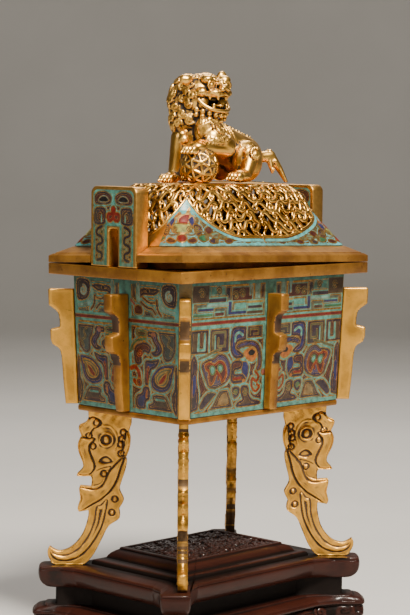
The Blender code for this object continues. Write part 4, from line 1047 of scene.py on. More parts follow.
COVER_RINGS = [
    (0.0, 0.0, 60.0), (0.155, 0.187, 20.0), (0.293, 0.375, 9.0), (0.397, 0.557, 5.5),
    (0.483, 0.733, 4.5), (0.586, 0.863, 4.0), (0.759, 0.957, 3.5), (1.0, 1.0, 3.2),
]
QUARTER_SHORT, QUARTER_LONG = 2, 3
COVER_COLUMNS = 4 * (QUARTER_SHORT + QUARTER_LONG)
CROWN_LEVEL = 0.955


def cover_lift(x, y):
    return COVER_LIFT / 2 * (1 + x * y / (RIM_HALF[0] * RIM_HALF[1]))


def cover_point(x, y, z):
    return place_vessel(x, y, z + cover_lift(x, y))


def direction_at(column):
    """Directions across the cover for columns counted from the right side's middle."""
    quarter_columns = QUARTER_SHORT + QUARTER_LONG
    quarter = np.floor(column / quarter_columns).astype(int) % 4
    step = column - np.floor(column / quarter_columns) * quarter_columns
    step = np.where(quarter % 2 == 1, quarter_columns - step, step)
    across = np.where(step <= QUARTER_SHORT, 1.0, (quarter_columns - step) / QUARTER_LONG)
    along = np.where(step <= QUARTER_SHORT, step / QUARTER_SHORT, 1.0)
    return np.where((quarter == 0) | (quarter == 3), 1, -1) * across, np.where(quarter < 2, 1, -1) * along


def cover_profile(level):
    """Inset, height and squareness at levels from 0 at the border to 1 at the crown."""
    table = np.array(COVER_RINGS)
    steps = np.linspace(0, 1, len(table))
    inset, rise, square = (np.interp(level, steps, table[:, axis]) for axis in range(3))
    return inset * COVER_SPAN, rise * DOME_HEIGHT, square


def level_at_rise(rise):
    table = np.array(COVER_RINGS)
    return np.interp(rise / DOME_HEIGHT, table[:, 1], np.linspace(0, 1, len(table)))


def border_rise(column):
    """Height of the ogee line where the enamel meets the pierced dome."""
    along_x, along_y = direction_at(column)
    share = np.minimum(np.abs(along_x), np.abs(along_y))
    peak = np.where(along_x * along_y > 0, 0.0350, 0.0265)
    climb = np.clip((share - 0.25) / 0.75, 0, 1) ** 1.6
    return 0.0060 + (peak - 0.0060) * climb


def cover_surface(column, level, inward=0.0, rise_by=0.0):
    """Points of the cover's outer surface."""
    inset, rise, square = cover_profile(level)
    along_x, along_y = direction_at(column)
    size = (np.abs(along_x) ** square + np.abs(along_y) ** square) ** (-1 / square)
    half_x = RIM_HALF[0] - COVER_BORDER - inset - inward
    half_y = RIM_HALF[1] - COVER_BORDER - inset - inward
    return cover_point(half_x * along_x * size, half_y * along_y * size, SHELL_Z + rise + rise_by)


def cover_facing(column, level):
    """Outward directions of the cover's surface."""
    step = 0.01
    across = cover_surface(column + step, level) - cover_surface(column - step, level)
    up = cover_surface(column, np.minimum(level + step, 1)) - cover_surface(column, np.maximum(level - step, 0))
    facing = np.cross(across, up)
    return facing / (np.linalg.norm(facing, axis=-1, keepdims=True) + 1e-12)


def cover_ring(half_x, half_y, z):
    corners = np.array([(-1, -1), (1, -1), (1, 1), (-1, 1)])
    return cover_point(corners[:, 0] * half_x, corners[:, 1] * half_y, np.full(4, z))


def add_cover_frame():
    """The gilt frame of the cover: edge, sloped border with its groove, shelf and lip, notched round the ears."""
    edge_x, edge_y = RIM_HALF
    slope = SHELL_Z - 0.0003 - COVER_Z - COVER_EDGE
    top = COVER_Z + COVER_EDGE
    profile = [(0.0004, COVER_Z), (0, COVER_Z + 0.0004), (0, top - 0.0005), (0.0004, top)]
    for share, sink in ((0.20, 0), (0.23, 0.0005), (0.27, 0.0005), (0.30, 0), (1.0, 0)):
        profile.append((share * COVER_BORDER, top + slope * share - sink))
    rings = [cover_ring(edge_x - inset, edge_y - inset, z) for inset, z in profile]
    shelf = (edge_x - COVER_BORDER - 0.0085, edge_y - COVER_BORDER - 0.0050)
    lip_inside, lip_outside = ([half - inset for half in MOUTH_HALF] for inset in (0.0035, 0.0012))
    under_shelf, lip_end = SHELL_Z - 0.0033, COVER_Z - 0.0048
    for half, z in ((shelf, SHELL_Z - 0.0003), (shelf, under_shelf), (lip_inside, under_shelf), (lip_inside, lip_end),
                    (lip_outside, lip_end), (lip_outside, COVER_Z)):
        rings.append(cover_ring(*half, z))
    mesh = array_mesh("cover_border", np.vstack(rings), wrapped_faces(len(rings), 4))
    turn_outward(mesh)
    holder = hold("cover_border_blank", mesh)
    near, far = RIM_HALF[0] - EAR_THICK - 0.0003, RIM_HALF[0] + 0.01
    for sign in (-1, 1):
        bpy.ops.object.select_all(action="DESELECT")
        middle = (VESSEL_AT[0] + sign * (near + far) / 2, VESSEL_AT[1], COVER_Z + 0.014)
        sizes = (far - near, 2 * (EAR_HALF * MM + 0.0003), 0.032)
        bpy.ops.mesh.primitive_cube_add(size=1, location=middle, scale=sizes)
        notch = bpy.context.object
        apply_modifier(holder, "BOOLEAN", operation="DIFFERENCE", solver="EXACT", object=notch)
        bpy.data.objects.remove(notch)
    finish_piece("cover_border", release(holder), worn_gilt(), ["cover_frame"], smooth=25)


def draw_cover(panel, column, rise, border):
    """The cover's enamel: a lotus at each corner between leafy scrolls, under a bright band along the ogee line."""
    along_x, along_y = direction_at(column)
    front = along_x * along_y > 0
    tall = np.where(front, 1.0, 0.78)
    panel.y = panel.y / tall
    panel.cell([(0, 24.5), (2.8, 22.5), (3, 19.5), (1.5, 17.5), (0, 17), (-1, 17), (-1, 24)], (0, OLIVE), (0.5, SKY))
    for points, bands in (
        ([(0, 17.8), (3.2, 18.6), (5.2, 16.4), (4.6, 13.4), (1.8, 12.2), (-1, 12.2), (-1, 17.8)],
         ((0, YELLOW), (0.45, RED))),
        ([(2.5, 12.6), (6.0, 13.2), (7.8, 11.2), (7.2, 8.6), (4.0, 8.2), (-1, 8.2), (-1, 12)],
         ((0, OLIVE), (0.5, (0.23, 0.24, 0.07)))),
        ([(6.8, 15.6), (9.8, 17.6), (10.4, 14), (9, 10.8), (7.8, 12.4)], ((0, YELLOW), (0.5, NAVY))),
        ([(9.6, 12.6), (13.8, 12), (15.6, 8.4), (12.2, 6.4), (9.8, 8.8)], ((0, YELLOW), (0.5, PLUM), (1.6, NAVY))),
        ([(5.2, 18.6), (7.6, 20.4), (8.6, 18.2), (6.8, 16.8)], ((0, OLIVE), (0.5, ORANGE))),
        ([(-1, 6.6), (2.4, 6.8), (4, 4.8), (2.4, 3), (-1, 2.8)], ((0, YELLOW), (0.5, RED))),
        ([(12.4, 5.0), (17, 6.8), (20.6, 4.4), (16.6, 2.8)], ((0, YELLOW), (0.5, GREEN))),
        ([(17.5, 9.6), (20.8, 11.6), (23.4, 9), (20.6, 7)], ((0, YELLOW), (0.5, MAROON))),
        ([(22.2, 7.2), (27, 8.2), (30, 5.8), (26.4, 3.8)], ((0, YELLOW), (0.5, (0.10, 0.16, 0.10)))),
        ([(4.6, 3.2), (9, 5), (11.6, 3.2), (8, 2)], ((0, YELLOW), (0.5, MAROON))),
    ):
        panel.cell(points, *bands, steps=3)
    panel.ribbon([(3.5, 7), (8.5, 6.6), (13, 8.8), (17.5, 8), (22.5, 5.6), (28.5, 6.6), (34, 3.9), (40, 4.4),
                  (46, 3.4)], 0.45, (0, (0.09, 0.08, 0.05)))
    leaves = ((24.5, 3.0, PLUM), (31.5, 5.4, OLIVE), (36.5, 3.0, MAROON), (41.5, 4.6, BROWN), (52, 3.4, PLUM),
              (60, 4.2, BROWN), (68, 3.4, PLUM))
    for place, high, colour in leaves:
        panel.cell([(place - 3.2, high), (place, high + 1.5), (place + 3.2, high), (place, high - 1.3)],
                   (0, YELLOW), (0.45, colour), steps=3)
    for place, high in ((6.0, 9.8), (12.2, 15), (19.4, 5.4), (27.4, 3), (11.6, 9.4)):
        panel.curl((place, high), 1.7, 60, 1.3, 0.42, (0, OLIVE))
    panel.fill(0.8, (3.6, 90.0, 1.4, 19.0), (0, YELLOW), (0.45, (0.045, 0.085, 0.055)), (1.2, BROWN))
    below = (border - rise) / MM
    band = below < 2.3
    panel.tint[band] = SKY
    panel.wire[band] = 5
    panel.wire = np.minimum(panel.wire, np.minimum(np.abs(below - 2.5), np.abs(below - 0.1)))
    panel.wire = np.minimum(panel.wire, np.abs(rise / MM - 0.4))
    # painted highlight: a paler, bluer patch at each corner just below the ogee line's peak
    tip = (np.abs(panel.x) < 3.0) & (below < 7.0)
    panel.tint[tip] = (0.10, 0.33, 0.38)


def add_cover_enamel(columns, rows):
    """The enamelled part of the cover, closed through its wall."""
    column = np.arange(columns) / columns * COVER_COLUMNS
    border = border_rise(column) - 0.0003
    shares = np.linspace(0, 1, rows)
    grid_column = np.tile(column, rows)
    rise = (shares[:, None] * border[None, :]).ravel()
    outer = cover_surface(grid_column, level_at_rise(rise))
    inner = []
    for share in (1.0, 0.5, 0.0):
        inner.append(cover_surface(column, level_at_rise(border * share), 0.0024))
    local = outer - place_vessel(np.zeros(1), np.zeros(1), np.zeros(1))
    corner_x, corner_y = (RIM_HALF[axis] - COVER_BORDER for axis in (0, 1))
    at_end = np.abs(local[:, 0]) / corner_x > np.abs(local[:, 1]) / corner_y
    from_corner = np.where(at_end, corner_y - np.abs(local[:, 1]), corner_x - np.abs(local[:, 0]))
    inset = cover_profile(level_at_rise(rise))[0]
    panel = Panel((from_corner - inset) / MM * 0.74, rise / MM * 0.80, SKY)
    draw_cover(panel, grid_column, rise, np.tile(border, rows))
    panel.wire[at_end & (np.abs(local[:, 1]) < 0.0345)] = -1
    mesh = array_mesh("cover_enamel", np.vstack([outer, *inner]), wrapped_faces(rows + len(inner), columns))
    store_enamel(mesh, panel, len(inner) * columns)
    finish_piece("cover_enamel", mesh, enamel(), ["cover_shell"])


def slope_table():
    """Length up the dome's slope, in metres, at even levels, on the long side's middle."""
    level = np.linspace(0, 1, 200)
    points = cover_surface(np.full(200, 15.0), level)
    length = np.concatenate([[0], np.cumsum(np.linalg.norm(np.diff(points, axis=0), axis=1))])
    return level, length


def scroll_shape(points, turn, sharpness):
    """An S-shaped scroll one unit long, curled up at both ends, as offsets from its middle."""
    s = np.linspace(-1, 1, points)
    fine = np.linspace(-1, 1, 161)
    heading = turn * np.abs(fine) ** sharpness
    steps = np.stack([np.cos(heading), np.sin(heading)], -1) / 160
    line = np.cumsum(steps, axis=0)
    line -= line[80]
    return np.stack([np.interp(s, fine, line[:, axis]) for axis in (0, 1)], -1), s


def add_openwork(rows, cells):
    """The pierced dome: rows of leafy scrolls over a net of stems, with a border and a crown."""
    parts = []
    levels, lengths = slope_table()
    total = lengths[-1] * CROWN_LEVEL

    def rib(column, length, width, height, deep, taper=None, cut=True):
        level = np.interp(length, lengths, levels)
        if cut:
            rise = cover_profile(level)[1]
            above = (rise > border_rise(column) + 0.0002) & (length < total + 0.0006)
            if above.sum() < 4:
                return
            first = int(np.argmax(above))
            last = first + int(np.argmin(np.append(above[first:], False)))
            if last - first < 4:
                return
            column, level = column[first:last], level[first:last]
            taper = None if taper is None else taper[first:last]
        path, facing = cover_surface(column, level), cover_facing(column, level)
        parts.append(sweep(path - facing * deep, facing, width, height, taper, sides=5))

    ring = np.linspace(0, COVER_COLUMNS, 241)[:-1]
    for level, width in ((level_at_rise(border_rise(ring) + 0.0011), 0.0012), (np.full(240, CROWN_LEVEL), 0.0010)):
        path, facing = cover_surface(ring, level), cover_facing(ring, level)
        parts.append(sweep(path - facing * 0.0004, facing, width, 0.0009, close=True))
    shape, along = scroll_shape(19, 4.2, 1.6)
    leaf = 0.45 + 0.55 * np.cos(np.pi * along / 2.3)
    pitch = total / rows
    for row in range(rows + 1):
        middle = pitch * (row + 0.1)
        girth = np.interp(middle, lengths, np.linspace(1.0, 0.56, 200))
        count = int(round(cells * girth))
        for cell in range(count):
            shift = scatter(cell, row)
            centre = COVER_COLUMNS * (cell + 0.5 * (row % 2) + 0.25 * shift) / count
            hand = -1 if (row + cell // 3) % 3 else 1
            slant = math.radians(-66 + 26 * (shift - 0.5)) * hand
            size = 0.0285 * (0.92 + 0.16 * shift)
            x = (shape[:, 0] * math.cos(slant) - hand * shape[:, 1] * math.sin(slant)) * size
            y = (shape[:, 0] * math.sin(slant) + hand * shape[:, 1] * math.cos(slant)) * size
            scale = 0.0295 * girth
            rib(centre + x / scale, middle + y, 0.0018, 0.0014, 0.0002 + 0.0005 * shift, leaf)
    for stem in range(cells):
        for slant, deep in ((-0.75, 0.0012), (0.45, 0.0016)):
            length = np.linspace(0, total, 31)
            start = COVER_COLUMNS * (stem + 0.3) / cells
            column = start + slant * length / total + 0.085 * np.sin(length / 0.0021 + 1.7 * stem)
            rib(column, length, 0.0013, 0.0008, deep)
    for centre in (5.0, 15.0):
        column, length = np.full(7, centre), np.linspace(0.0095, 0.0035, 7)
        rib(column, length, 0.0024, 0.0012, 0.0001, np.linspace(1, 0.2, 7), cut=False)
    around = 80
    crown_column = np.arange(around) / around * COVER_COLUMNS
    rings = []
    for level, drop in ((0.945, 0.0), (0.975, 0.0), (1.0, 0.0), (1.0, 0.0018), (0.945, 0.0018)):
        rings.append(cover_surface(crown_column, np.full(around, level), rise_by=-drop))
    parts.append((np.vstack(rings), wrapped_faces(len(rings), around)))
    mesh = array_mesh("openwork_dome", *gather(parts))
    finish_piece("openwork_dome", mesh, glossy_gilt(), ["pierced_dome"])
    mark_hollows(mesh, 2, 0.0030, 0.006)
    plate = cover_surface(crown_column, np.full(around, 0.985), rise_by=-0.0003)
    mesh = array_mesh("dome_crown", np.vstack([plate, plate - (0, 0, 0.0014)]), capped_faces(2, around))
    finish_piece("dome_crown", mesh, glossy_gilt(), smooth=30)
    set_attribute(mesh, "hollow", np.zeros(2 * around))


# Lion, in millimetres from the middle of its base; its body lies along X and its head is turned to -Y

LION_LUMPS = [
    ((-16, 1, 36), (16, 15, 25)), ((-20, 3, 50), (16, 16, 18)), ((34, 0, 20), (17, 15, 16)),
    ((24, -15, 17), (15, 8, 16)), ((26, 16, 17), (16, 8, 16)), ((-19, -14, 40), (12, 9, 13)),
    ((-16, -7, 70), (18, 14, 11.5)), ((-15.5, -8, 54), (14, 12.5, 6)), ((-20, 6, 62), (17, 12, 19)),
    ((-16, -2, 62), (12, 9, 9)), ((-28, -8, 63), (6, 8, 9)), ((-5, -7, 63), (7, 8, 9)),
    ((-34, -20, 13.2), (13.2, 13.2, 13.2)), ((-41, -10, 33), (4.4, 4.4, 4.4)), ((-40, -8, 38), (4, 3, 2)),
    ((-36, 8, 4), (7, 7, 4.4)), ((-38, -21, 27.5), (7, 7, 4.5)), ((5, -25, 5.6), (9, 8, 5.0)),
    ((8, 22, 4.5), (12, 8, 5.5)), ((20, -21, 22), (7, 5, 7)),
]
LION_LIMBS = [
    ((-10, 0, 36), (34, 0, 22), 15, 14), ((21, -21, 20), (12, -24, 6), 6.8, 5.2), ((16, 21, 14), (12, 22, 5), 7, 6),
    ((-27, 7, 34), (-32, 8, 6), 7.8, 5.4), ((-20, -19, 34), (-7, -22, 28), 9, 7.5),
    ((-7, -22, 26.5), (-36, -21, 28), 6.8, 5.2), ((46, -3, 19), (58, -8, 21), 4.6, 4.2),
    ((58, -8, 21), (63, -13, 11), 4.0, 2.8), ((63, -13, 11), (65, -19, 0.2), 2.8, 1.5),
    ((56, -8, 20), (55, -13, 8), 3.2, 1.3), ((50, -6, 20), (57, -5, 24), 2.6, 1.6),
]
LION_PAWS = [(-41, 7, 3.4), (-45, -21, 25.0), (-3, -28, 5.0), (-2, 23, 3.5)]
LION_FACE = np.array((-15.2, -9.3, 0.0))
LION_BALL = np.array((-34.0, -20.0, 13.2))
LION_TRIANGLES = 190000


def fused(points, faces, voxel, name, most=None):
    """Lumps fused into one closed skin, thinned where it has more triangles than the most asked for."""
    holder = hold(name, array_mesh(name, points, faces))
    apply_modifier(holder, "REMESH", mode="VOXEL", voxel_size=voxel)
    triangles = sum(len(face.vertices) - 2 for face in holder.data.polygons)
    if most and triangles > most:
        apply_modifier(holder, "DECIMATE", ratio=most / triangles)
    return release(holder)


class Lumps:
    """Balls, strings of balls and ribs, gathered before they are fused."""

    def __init__(self):
        self.parts = []
        self.balls = {}
        self.skin = None

    def ball(self, centre, radii, segments=16):
        if segments not in self.balls:
            build = bmesh.new()
            bmesh.ops.create_uvsphere(build, u_segments=segments, v_segments=segments // 2 + 2, radius=1.0)
            points = np.array([vertex.co for vertex in build.verts])
            self.balls[segments] = points, [[vertex.index for vertex in face.verts] for face in build.faces]
            build.free()
        points, faces = self.balls[segments]
        self.parts.append((points * radii + centre, faces))

    def limb(self, start, end, thick, thin):
        start, end = np.array(start, float), np.array(end, float)
        steps = max(2, int(np.linalg.norm(end - start) / (0.3 * min(thick, thin))) + 1)
        for share in np.linspace(0, 1, steps + 1):
            self.ball(start + (end - start) * share, thick + (thin - thick) * share, 14)

    def settle(self, place, sink):
        """The place moved onto the skin, sunk a little, with the skin's direction there."""
        spot, facing = self.skin.find_nearest(Vector(place))[:2]
        return np.array(spot) - sink * np.array(facing), np.array(facing)

    def string(self, points, radius, taper=1.0, sink=0.2, steps=6):
        """A cord laid on the skin along a curve."""
        path = smooth_path(points, steps)
        for share, place in zip(np.linspace(0, 1, len(path)), path):
            self.ball(self.settle(place, sink * radius)[0], radius * (1 - share * (1 - taper)), 8)

    def curl(self, place, radius, cord, turns=1.35, start=0.0, hand=1, mound=0.5):
        """A spiral lock laid on a low mound of the skin."""
        spot, facing = self.settle(place, 0)
        side = np.cross(facing, (0.0, 0.0, 1.0))
        side /= np.linalg.norm(side) + 1e-9
        up = np.cross(side, facing)
        self.ball(spot - facing * radius * 0.25, radius * np.array((0.95, 0.95, 0.95)) * (0.6 + mound * 0.5), 12)
        for turn in np.linspace(0, 1, 20):
            angle = start + hand * 2 * np.pi * turns * turn
            reach = radius * (1 - 0.85 * turn)
            lift = radius * mound * (0.35 + 0.5 * turn)
            spiral = side * math.cos(angle) * reach + up * math.sin(angle) * reach
            self.ball(spot + spiral + facing * lift, cord * (1 - 0.2 * turn), 8)


def face_place(side, forward, height):
    return LION_FACE + (side, -forward, height)


def sink_mouth(mesh):
    """Opens the lion's mouth as a wide gap round the front of the muzzle."""
    points = mesh_points(mesh)
    local = points - LION_FACE
    tall = np.clip(1 - np.abs(local[:, 2] - 61.2) / 5.0, 0, 1)
    front = np.clip((-local[:, 1] - 1.5) / 3.0, 0, 1) * np.clip((17.5 - np.abs(local[:, 0])) / 2.5, 0, 1)
    near = np.clip((19 + local[:, 1]) / 2, 0, 1)
    share = (0.26 * np.clip(tall * 2.2, 0, 1) * front * near)[:, None]
    centre = LION_FACE + (0, -1.0, 61.2)
    mesh.vertices.foreach_set("co", (points + (centre - points) * share * (1, 1, 0.15)).ravel())
    mesh.update()


def lion_face(lumps):
    for side in (-1, 1):
        lumps.ball(face_place(side * 5.2, 12.5, 68.0), (6.4, 5.8, 3.6))
        lumps.ball(face_place(side * 12.5, 5.5, 68.5), (5.0, 5.5, 4.0))
        lumps.ball(face_place(side * 8.0, 11.2, 73.6), (3.3, 3.0, 2.9))
        lumps.ball(face_place(side * 9.0, 8.5, 78.0), (5.4, 5.0, 3.6))
        lumps.curl(face_place(side * 7.5, 14, 79.0), 4.2, 1.15, 1.4, math.pi / 2, side, 0.55)
        for turn in np.linspace(0.1, np.pi - 0.1, 9):
            lumps.ball(face_place(side * 8.0 + 4.2 * math.cos(turn), 12.6, 73.4 + 3.8 * math.sin(turn)), 1.0, 8)
        for turn in np.linspace(np.pi + 0.2, 2 * np.pi - 0.2, 8):
            lumps.ball(face_place(side * 8.0 + 4.0 * math.cos(turn), 12.8, 73.0 + 3.2 * math.sin(turn)), 0.75, 8)
        lumps.ball(face_place(side * 2.8, 18.4, 70.6), (2.2, 2.0, 1.8))
        lumps.ball(face_place(side * 4.2, 15.2, 64.6), (1.1, 1.1, 2.4), 8)
        lumps.ball(face_place(side * 9.2, 11.5, 64.8), (1.1, 1.1, 2.1), 8)
        lumps.ball(face_place(side * 6.8, 13.4, 57.8), (1.2, 1.2, 2.6), 8)
        ear = face_place(13.0, 2.5, 80.5) if side > 0 else face_place(-20.5, -2.0, 77.5)
        lumps.ball(ear, (4.6, 3.2, 4.6) if side > 0 else (6.4, 3.6, 4.4), 16)
        lumps.ball(ear + (side * 0.5, -2.0, 0.2), (2.4, 1.6, 2.6) if side > 0 else (3.6, 2.2, 2.8), 12)
        lumps.ball(face_place(side * 9.8, 4.6, 61.2), (4.8, 4.2, 6.0))
    lumps.ball(face_place(0, 17.0, 71.8), (4.2, 3.4, 2.6))
    lumps.ball(face_place(0, 12.8, 75.0), (2.8, 4.0, 3.2))
    lumps.ball(face_place(0, 9.5, 58.6), (4.0, 7.0, 1.6))
    lumps.curl(face_place(0, 10, 82.0), 3.8, 1.1, 1.3, math.pi / 2, 1, 0.4)
    lip = [(-15.2, 2.5, 66.0), (-13.4, 8.0, 59.6), (-8.8, 13.6, 55.6), (0, 16.4, 54.4), (8.8, 13.6, 55.6),
           (13.4, 8.0, 59.6), (15.2, 2.5, 66.0)]
    for place in smooth_path([face_place(*spot) for spot in lip], 9):
        lumps.ball(place, 1.55, 8)
    upper = [(-14.5, 3.0, 68.5), (-10.5, 11.0, 66.2), (-5.0, 17.0, 66.0), (0, 17.5, 67.2), (5.0, 17.0, 66.0),
             (10.5, 11.0, 66.2), (14.5, 3.0, 68.5)]
    for place in smooth_path([face_place(*spot) for spot in upper], 9):
        lumps.ball(place, 1.2, 8)
    for row, (height, reach, count) in enumerate(((51.0, 15.0, 9), (47.4, 12.5, 8))):
        for beard in range(count):
            turn = math.radians(-78 + 156 * beard / (count - 1))
            lift = 4.5 * abs(math.sin(turn)) ** 2
            place = face_place(14.5 * math.sin(turn), reach * math.cos(turn) - 0.5, height + lift)
            lumps.ball(place, 2.1, 10)
            lumps.curl(place, 1.9, 0.7, 1.0, turn, 1 if beard % 2 else -1, 0.8)


def lion_coat(lumps):
    """Curled mane, locks down the chest, swirls at the joints, ribs, spine beads, collar, bell and the ball's net."""
    golden = math.pi * (3 - math.sqrt(5))
    for centre, reach, count in (((-17, -3, 68), 60, 84), ((-19, 3, 50), 60, 60)):
        centre = np.array(centre, float)
        for place in range(count):
            z = 1 - 2 * (place + 0.5) / count
            ring = math.sqrt(1 - z * z)
            away = np.array((ring * math.cos(golden * place), ring * math.sin(golden * place), z))
            spot, facing = lumps.skin.ray_cast(Vector(centre + away * reach), Vector(-away))[:2]
            if spot is None:
                continue
            local = np.array(spot) - LION_FACE
            on_face = -local[1] > 1.5 and abs(local[0]) < 17.5 and local[2] > 49
            too_low = local[2] < (42 if local[1] > 0 or local[0] < -12 else 54)
            on_chest = local[2] < 56 and -local[1] > 4 and local[0] > -14
            if not (on_face or too_low or on_chest or (centre[2] > 60 and local[2] < 58)):
                lumps.curl(spot, 3.9, 1.15, 1.3, golden * place, 1 if place % 2 else -1, 0.35)
    for lock in range(9):
        share = lock / 8
        top = np.array((-34 + 14 * share, -8 - 12 * share, 52 - 1.5 * share))
        low = top + (-2.0 - 1.5 * share, -1.5, -13 + 2 * share)
        lumps.string([top, (top + low) / 2 + (-1.5, -1, 0), low], 0.75, 0.5)
    lumps.string([(-38, 0, 40), (-38, -9, 42), (-31, -20, 45), (-20, -26, 50), (-8, -23, 54)], 1.2, 1.0, 0.1)
    lumps.curl((-18, -26, 42), 6.4, 1.35, 1.6, 0.4, 1, 0.16)
    lumps.string([(-28, -22, 33), (-18, -27, 31), (-8, -26, 34), (-5, -20, 42), (-8, -16, 50)], 1.3, 0.7, 0.1)
    lumps.string([(-30, -20, 36), (-21, -26, 33.5), (-11, -26, 36.5), (-8.5, -21, 43)], 1.1, 0.7, 0.1)
    lumps.curl((20, -27, 22), 5.2, 1.3, 1.4, 2.0, -1, 0.2)
    lumps.curl((-20, 17, 40), 6.0, 1.3, 1.5, 0.4, -1, 0.16)
    lumps.curl((26, 25, 22), 5.6, 1.3, 1.4, 2.0, 1, 0.2)
    lumps.string([(30, 22, 32), (14, 22, 30), (8, 24, 20)], 1.1, 0.6, 0.1)
    for rib in range(5):
        x = -1 + 3.6 * rib
        lumps.string([(x - 4, 8, 46 - rib), (x - 1, 15, 38 - rib), (x + 1, 17, 30)], 1.35, 0.6, 0.1)
        lumps.string([(x - 4, -8, 46 - rib), (x - 1, -15, 38 - rib), (x + 1, -17, 30)], 1.35, 0.6, 0.1)
    lumps.string([(12, -20, 30), (20, -25, 33), (30, -22, 30), (36, -20, 22)], 0.9, 0.6)
    lumps.string([(38, -20, 26), (44, -14, 20), (46, -12, 12)], 0.9, 0.6)
    for lock in range(6):
        x = -12 - 4 * lock
        lumps.string([(x, -26, 33), (x - 1.5, -27, 30.5), (x - 3.5, -27, 29)], 0.8, 0.6)
    for bead in range(14):
        share = bead / 13
        lumps.ball(lumps.settle((6 + 40 * share, 0, 54 - 20 * share), -0.5)[0], 1.6, 10)
        lumps.ball(lumps.settle((6 + 40 * share, -3.0, 53 - 20 * share), 0.2)[0], 0.7, 8)
    build = bmesh.new()
    bmesh.ops.create_icosphere(build, subdivisions=2, radius=13.2)
    turn = Matrix.Rotation(0.5, 3, "X") @ Matrix.Rotation(0.7, 3, "Z")
    for edge in build.edges:
        start, end = (np.array(turn @ vertex.co) for vertex in edge.verts)
        for share in np.linspace(0, 1, 8):
            place = start + (end - start) * share
            lumps.ball(LION_BALL + place * 13.4 / np.linalg.norm(place), 1.0, 8)
    build.free()
    lumps.string([(-38.5, -12, 33.6), (-43, -12.4, 33.4), (-47, -9, 33.4)], 0.5)
    for x, y, z in LION_PAWS:
        for toe in (-1.5, -0.5, 0.5, 1.5):
            lumps.ball((x - 0.8 * (1.5 - abs(toe)), y + 3.5 * toe, z), (3.8, 2.0, 3.4), 12)
            lumps.ball((x - 3.8 - 0.8 * (1.5 - abs(toe)), y + 3.5 * toe, z - 1.6), (1.5, 0.9, 1.2), 8)
    for place, radius in (((57, -8, 23), 2.0), ((60, -11, 16), 1.6), ((56, -13, 10), 1.3)):
        lumps.curl(place, radius, 0.7, 1.1, 0, 1, 0.4)


def add_lion(voxel):
    lumps = Lumps()
    for centre, radii in LION_LUMPS:
        lumps.ball(centre, radii, 24)
    for start, end, thick, thin in LION_LIMBS:
        lumps.limb(start, end, thick, thin)
    mesh = fused(*gather(lumps.parts), 0.9, "lion_core")
    sink_mouth(mesh)
    lumps.skin = ray_tree(mesh)
    lumps.parts = [(mesh_points(mesh), [list(face.vertices) for face in mesh.polygons])]
    lion_face(lumps)
    lion_coat(lumps)
    points, faces = gather(lumps.parts)
    mesh = fused(points * MM, faces, voxel, "gilt_lion", LION_TRIANGLES)
    points = mesh_points(mesh)
    points[:, 2] = np.maximum(points[:, 2] - 0.00035, 0)
    points += (VESSEL_AT[0], VESSEL_AT[1], LION_Z)
    mesh.vertices.foreach_set("co", points.ravel())
    mesh.update()
    finish_piece("gilt_lion", mesh, glossy_gilt(), ["lion_finial"])
    mark_hollows(mesh, 12, 0.0004, 0.022)


# Stage

CAMERA_AZIMUTH, CAMERA_ELEVATION, CAMERA_ROLL = -46, 4.8, 0.6
CAMERA_AWAY = 1.5339
FOCAL_SHARE = 1986.7 / 615
AIM_HEIGHT = LEG_Z + 0.197
AIM_LEFT = 0.00405
LIGHT_AIM = Vector((0, 0, 0.24))
LIGHTS = (
    ("key_light", -22, 54, 1.6, 0.36, 62, (1.0, 0.93, 0.82)),
    ("fill_light", -78, 30, 1.8, 0.7, 7.5, (1.0, 0.95, 0.88)),
    ("rim_light", 130, 50, 1.6, 0.6, 14, (1.0, 0.95, 0.9)),
)


def direction(azimuth, elevation):
    """From the object towards a place round it, in degrees from the front and above the floor."""
    turn, rise = math.radians(azimuth), math.radians(elevation)
    return Vector((math.sin(turn) * math.cos(rise), -math.cos(turn) * math.cos(rise), math.sin(rise)))


def add_floor():
    """A pale floor that rises behind the object."""
    bend = np.linspace(0, math.pi / 2, 12)[1:]
    run = [(-5.0, 0.0), (2.4, 0.0)] + [(2.4 + math.sin(a), 1.0 - math.cos(a)) for a in bend] + [(3.4, 5.0)]
    points, faces = [], []
    heading = -math.radians(CAMERA_AZIMUTH)
    for away, z in run:
        for side in (-7.0, 7.0):
            x = away * math.sin(heading) + side * math.cos(heading)
            y = away * math.cos(heading) - side * math.sin(heading)
            points.append((x, y, z))
    for row in range(len(run) - 1):
        faces.append([2 * row, 2 * row + 1, 2 * row + 3, 2 * row + 2])
    mesh = array_mesh("studio_sweep", points, faces)
    floor = link("studio_sweep", mesh)
    mesh.shade_smooth()
    paper = Finish("studio_paper", Roughness=0.9)
    paper.feed(Base_Color=paper.mix(paper.noise(0.4, 3).between(0.3, 0.7), (0.60, 0.585, 0.56), (0.64, 0.625, 0.60)))
    mesh.materials.append(paper.material)


def add_lights():
    """Three soft lights and a faint warm air round them."""
    for name, azimuth, elevation, distance, size, power, colour in LIGHTS:
        light = bpy.data.lights.new(name, "AREA")
        light.size, light.energy, light.color = size, power, colour
        lamp = link(name, light)
        back = direction(azimuth, elevation)
        lamp.location = LIGHT_AIM + back * distance
        lamp.rotation_euler = back.to_track_quat("Z", "Y").to_euler()
    world = bpy.data.worlds.new("studio_air")
    bpy.context.scene.world = world
    world.use_nodes = True
    world.node_tree.nodes["Background"].inputs["Color"].default_value = (1.0, 0.96, 0.90, 1.0)
    world.node_tree.nodes["Background"].inputs["Strength"].default_value = 0.10


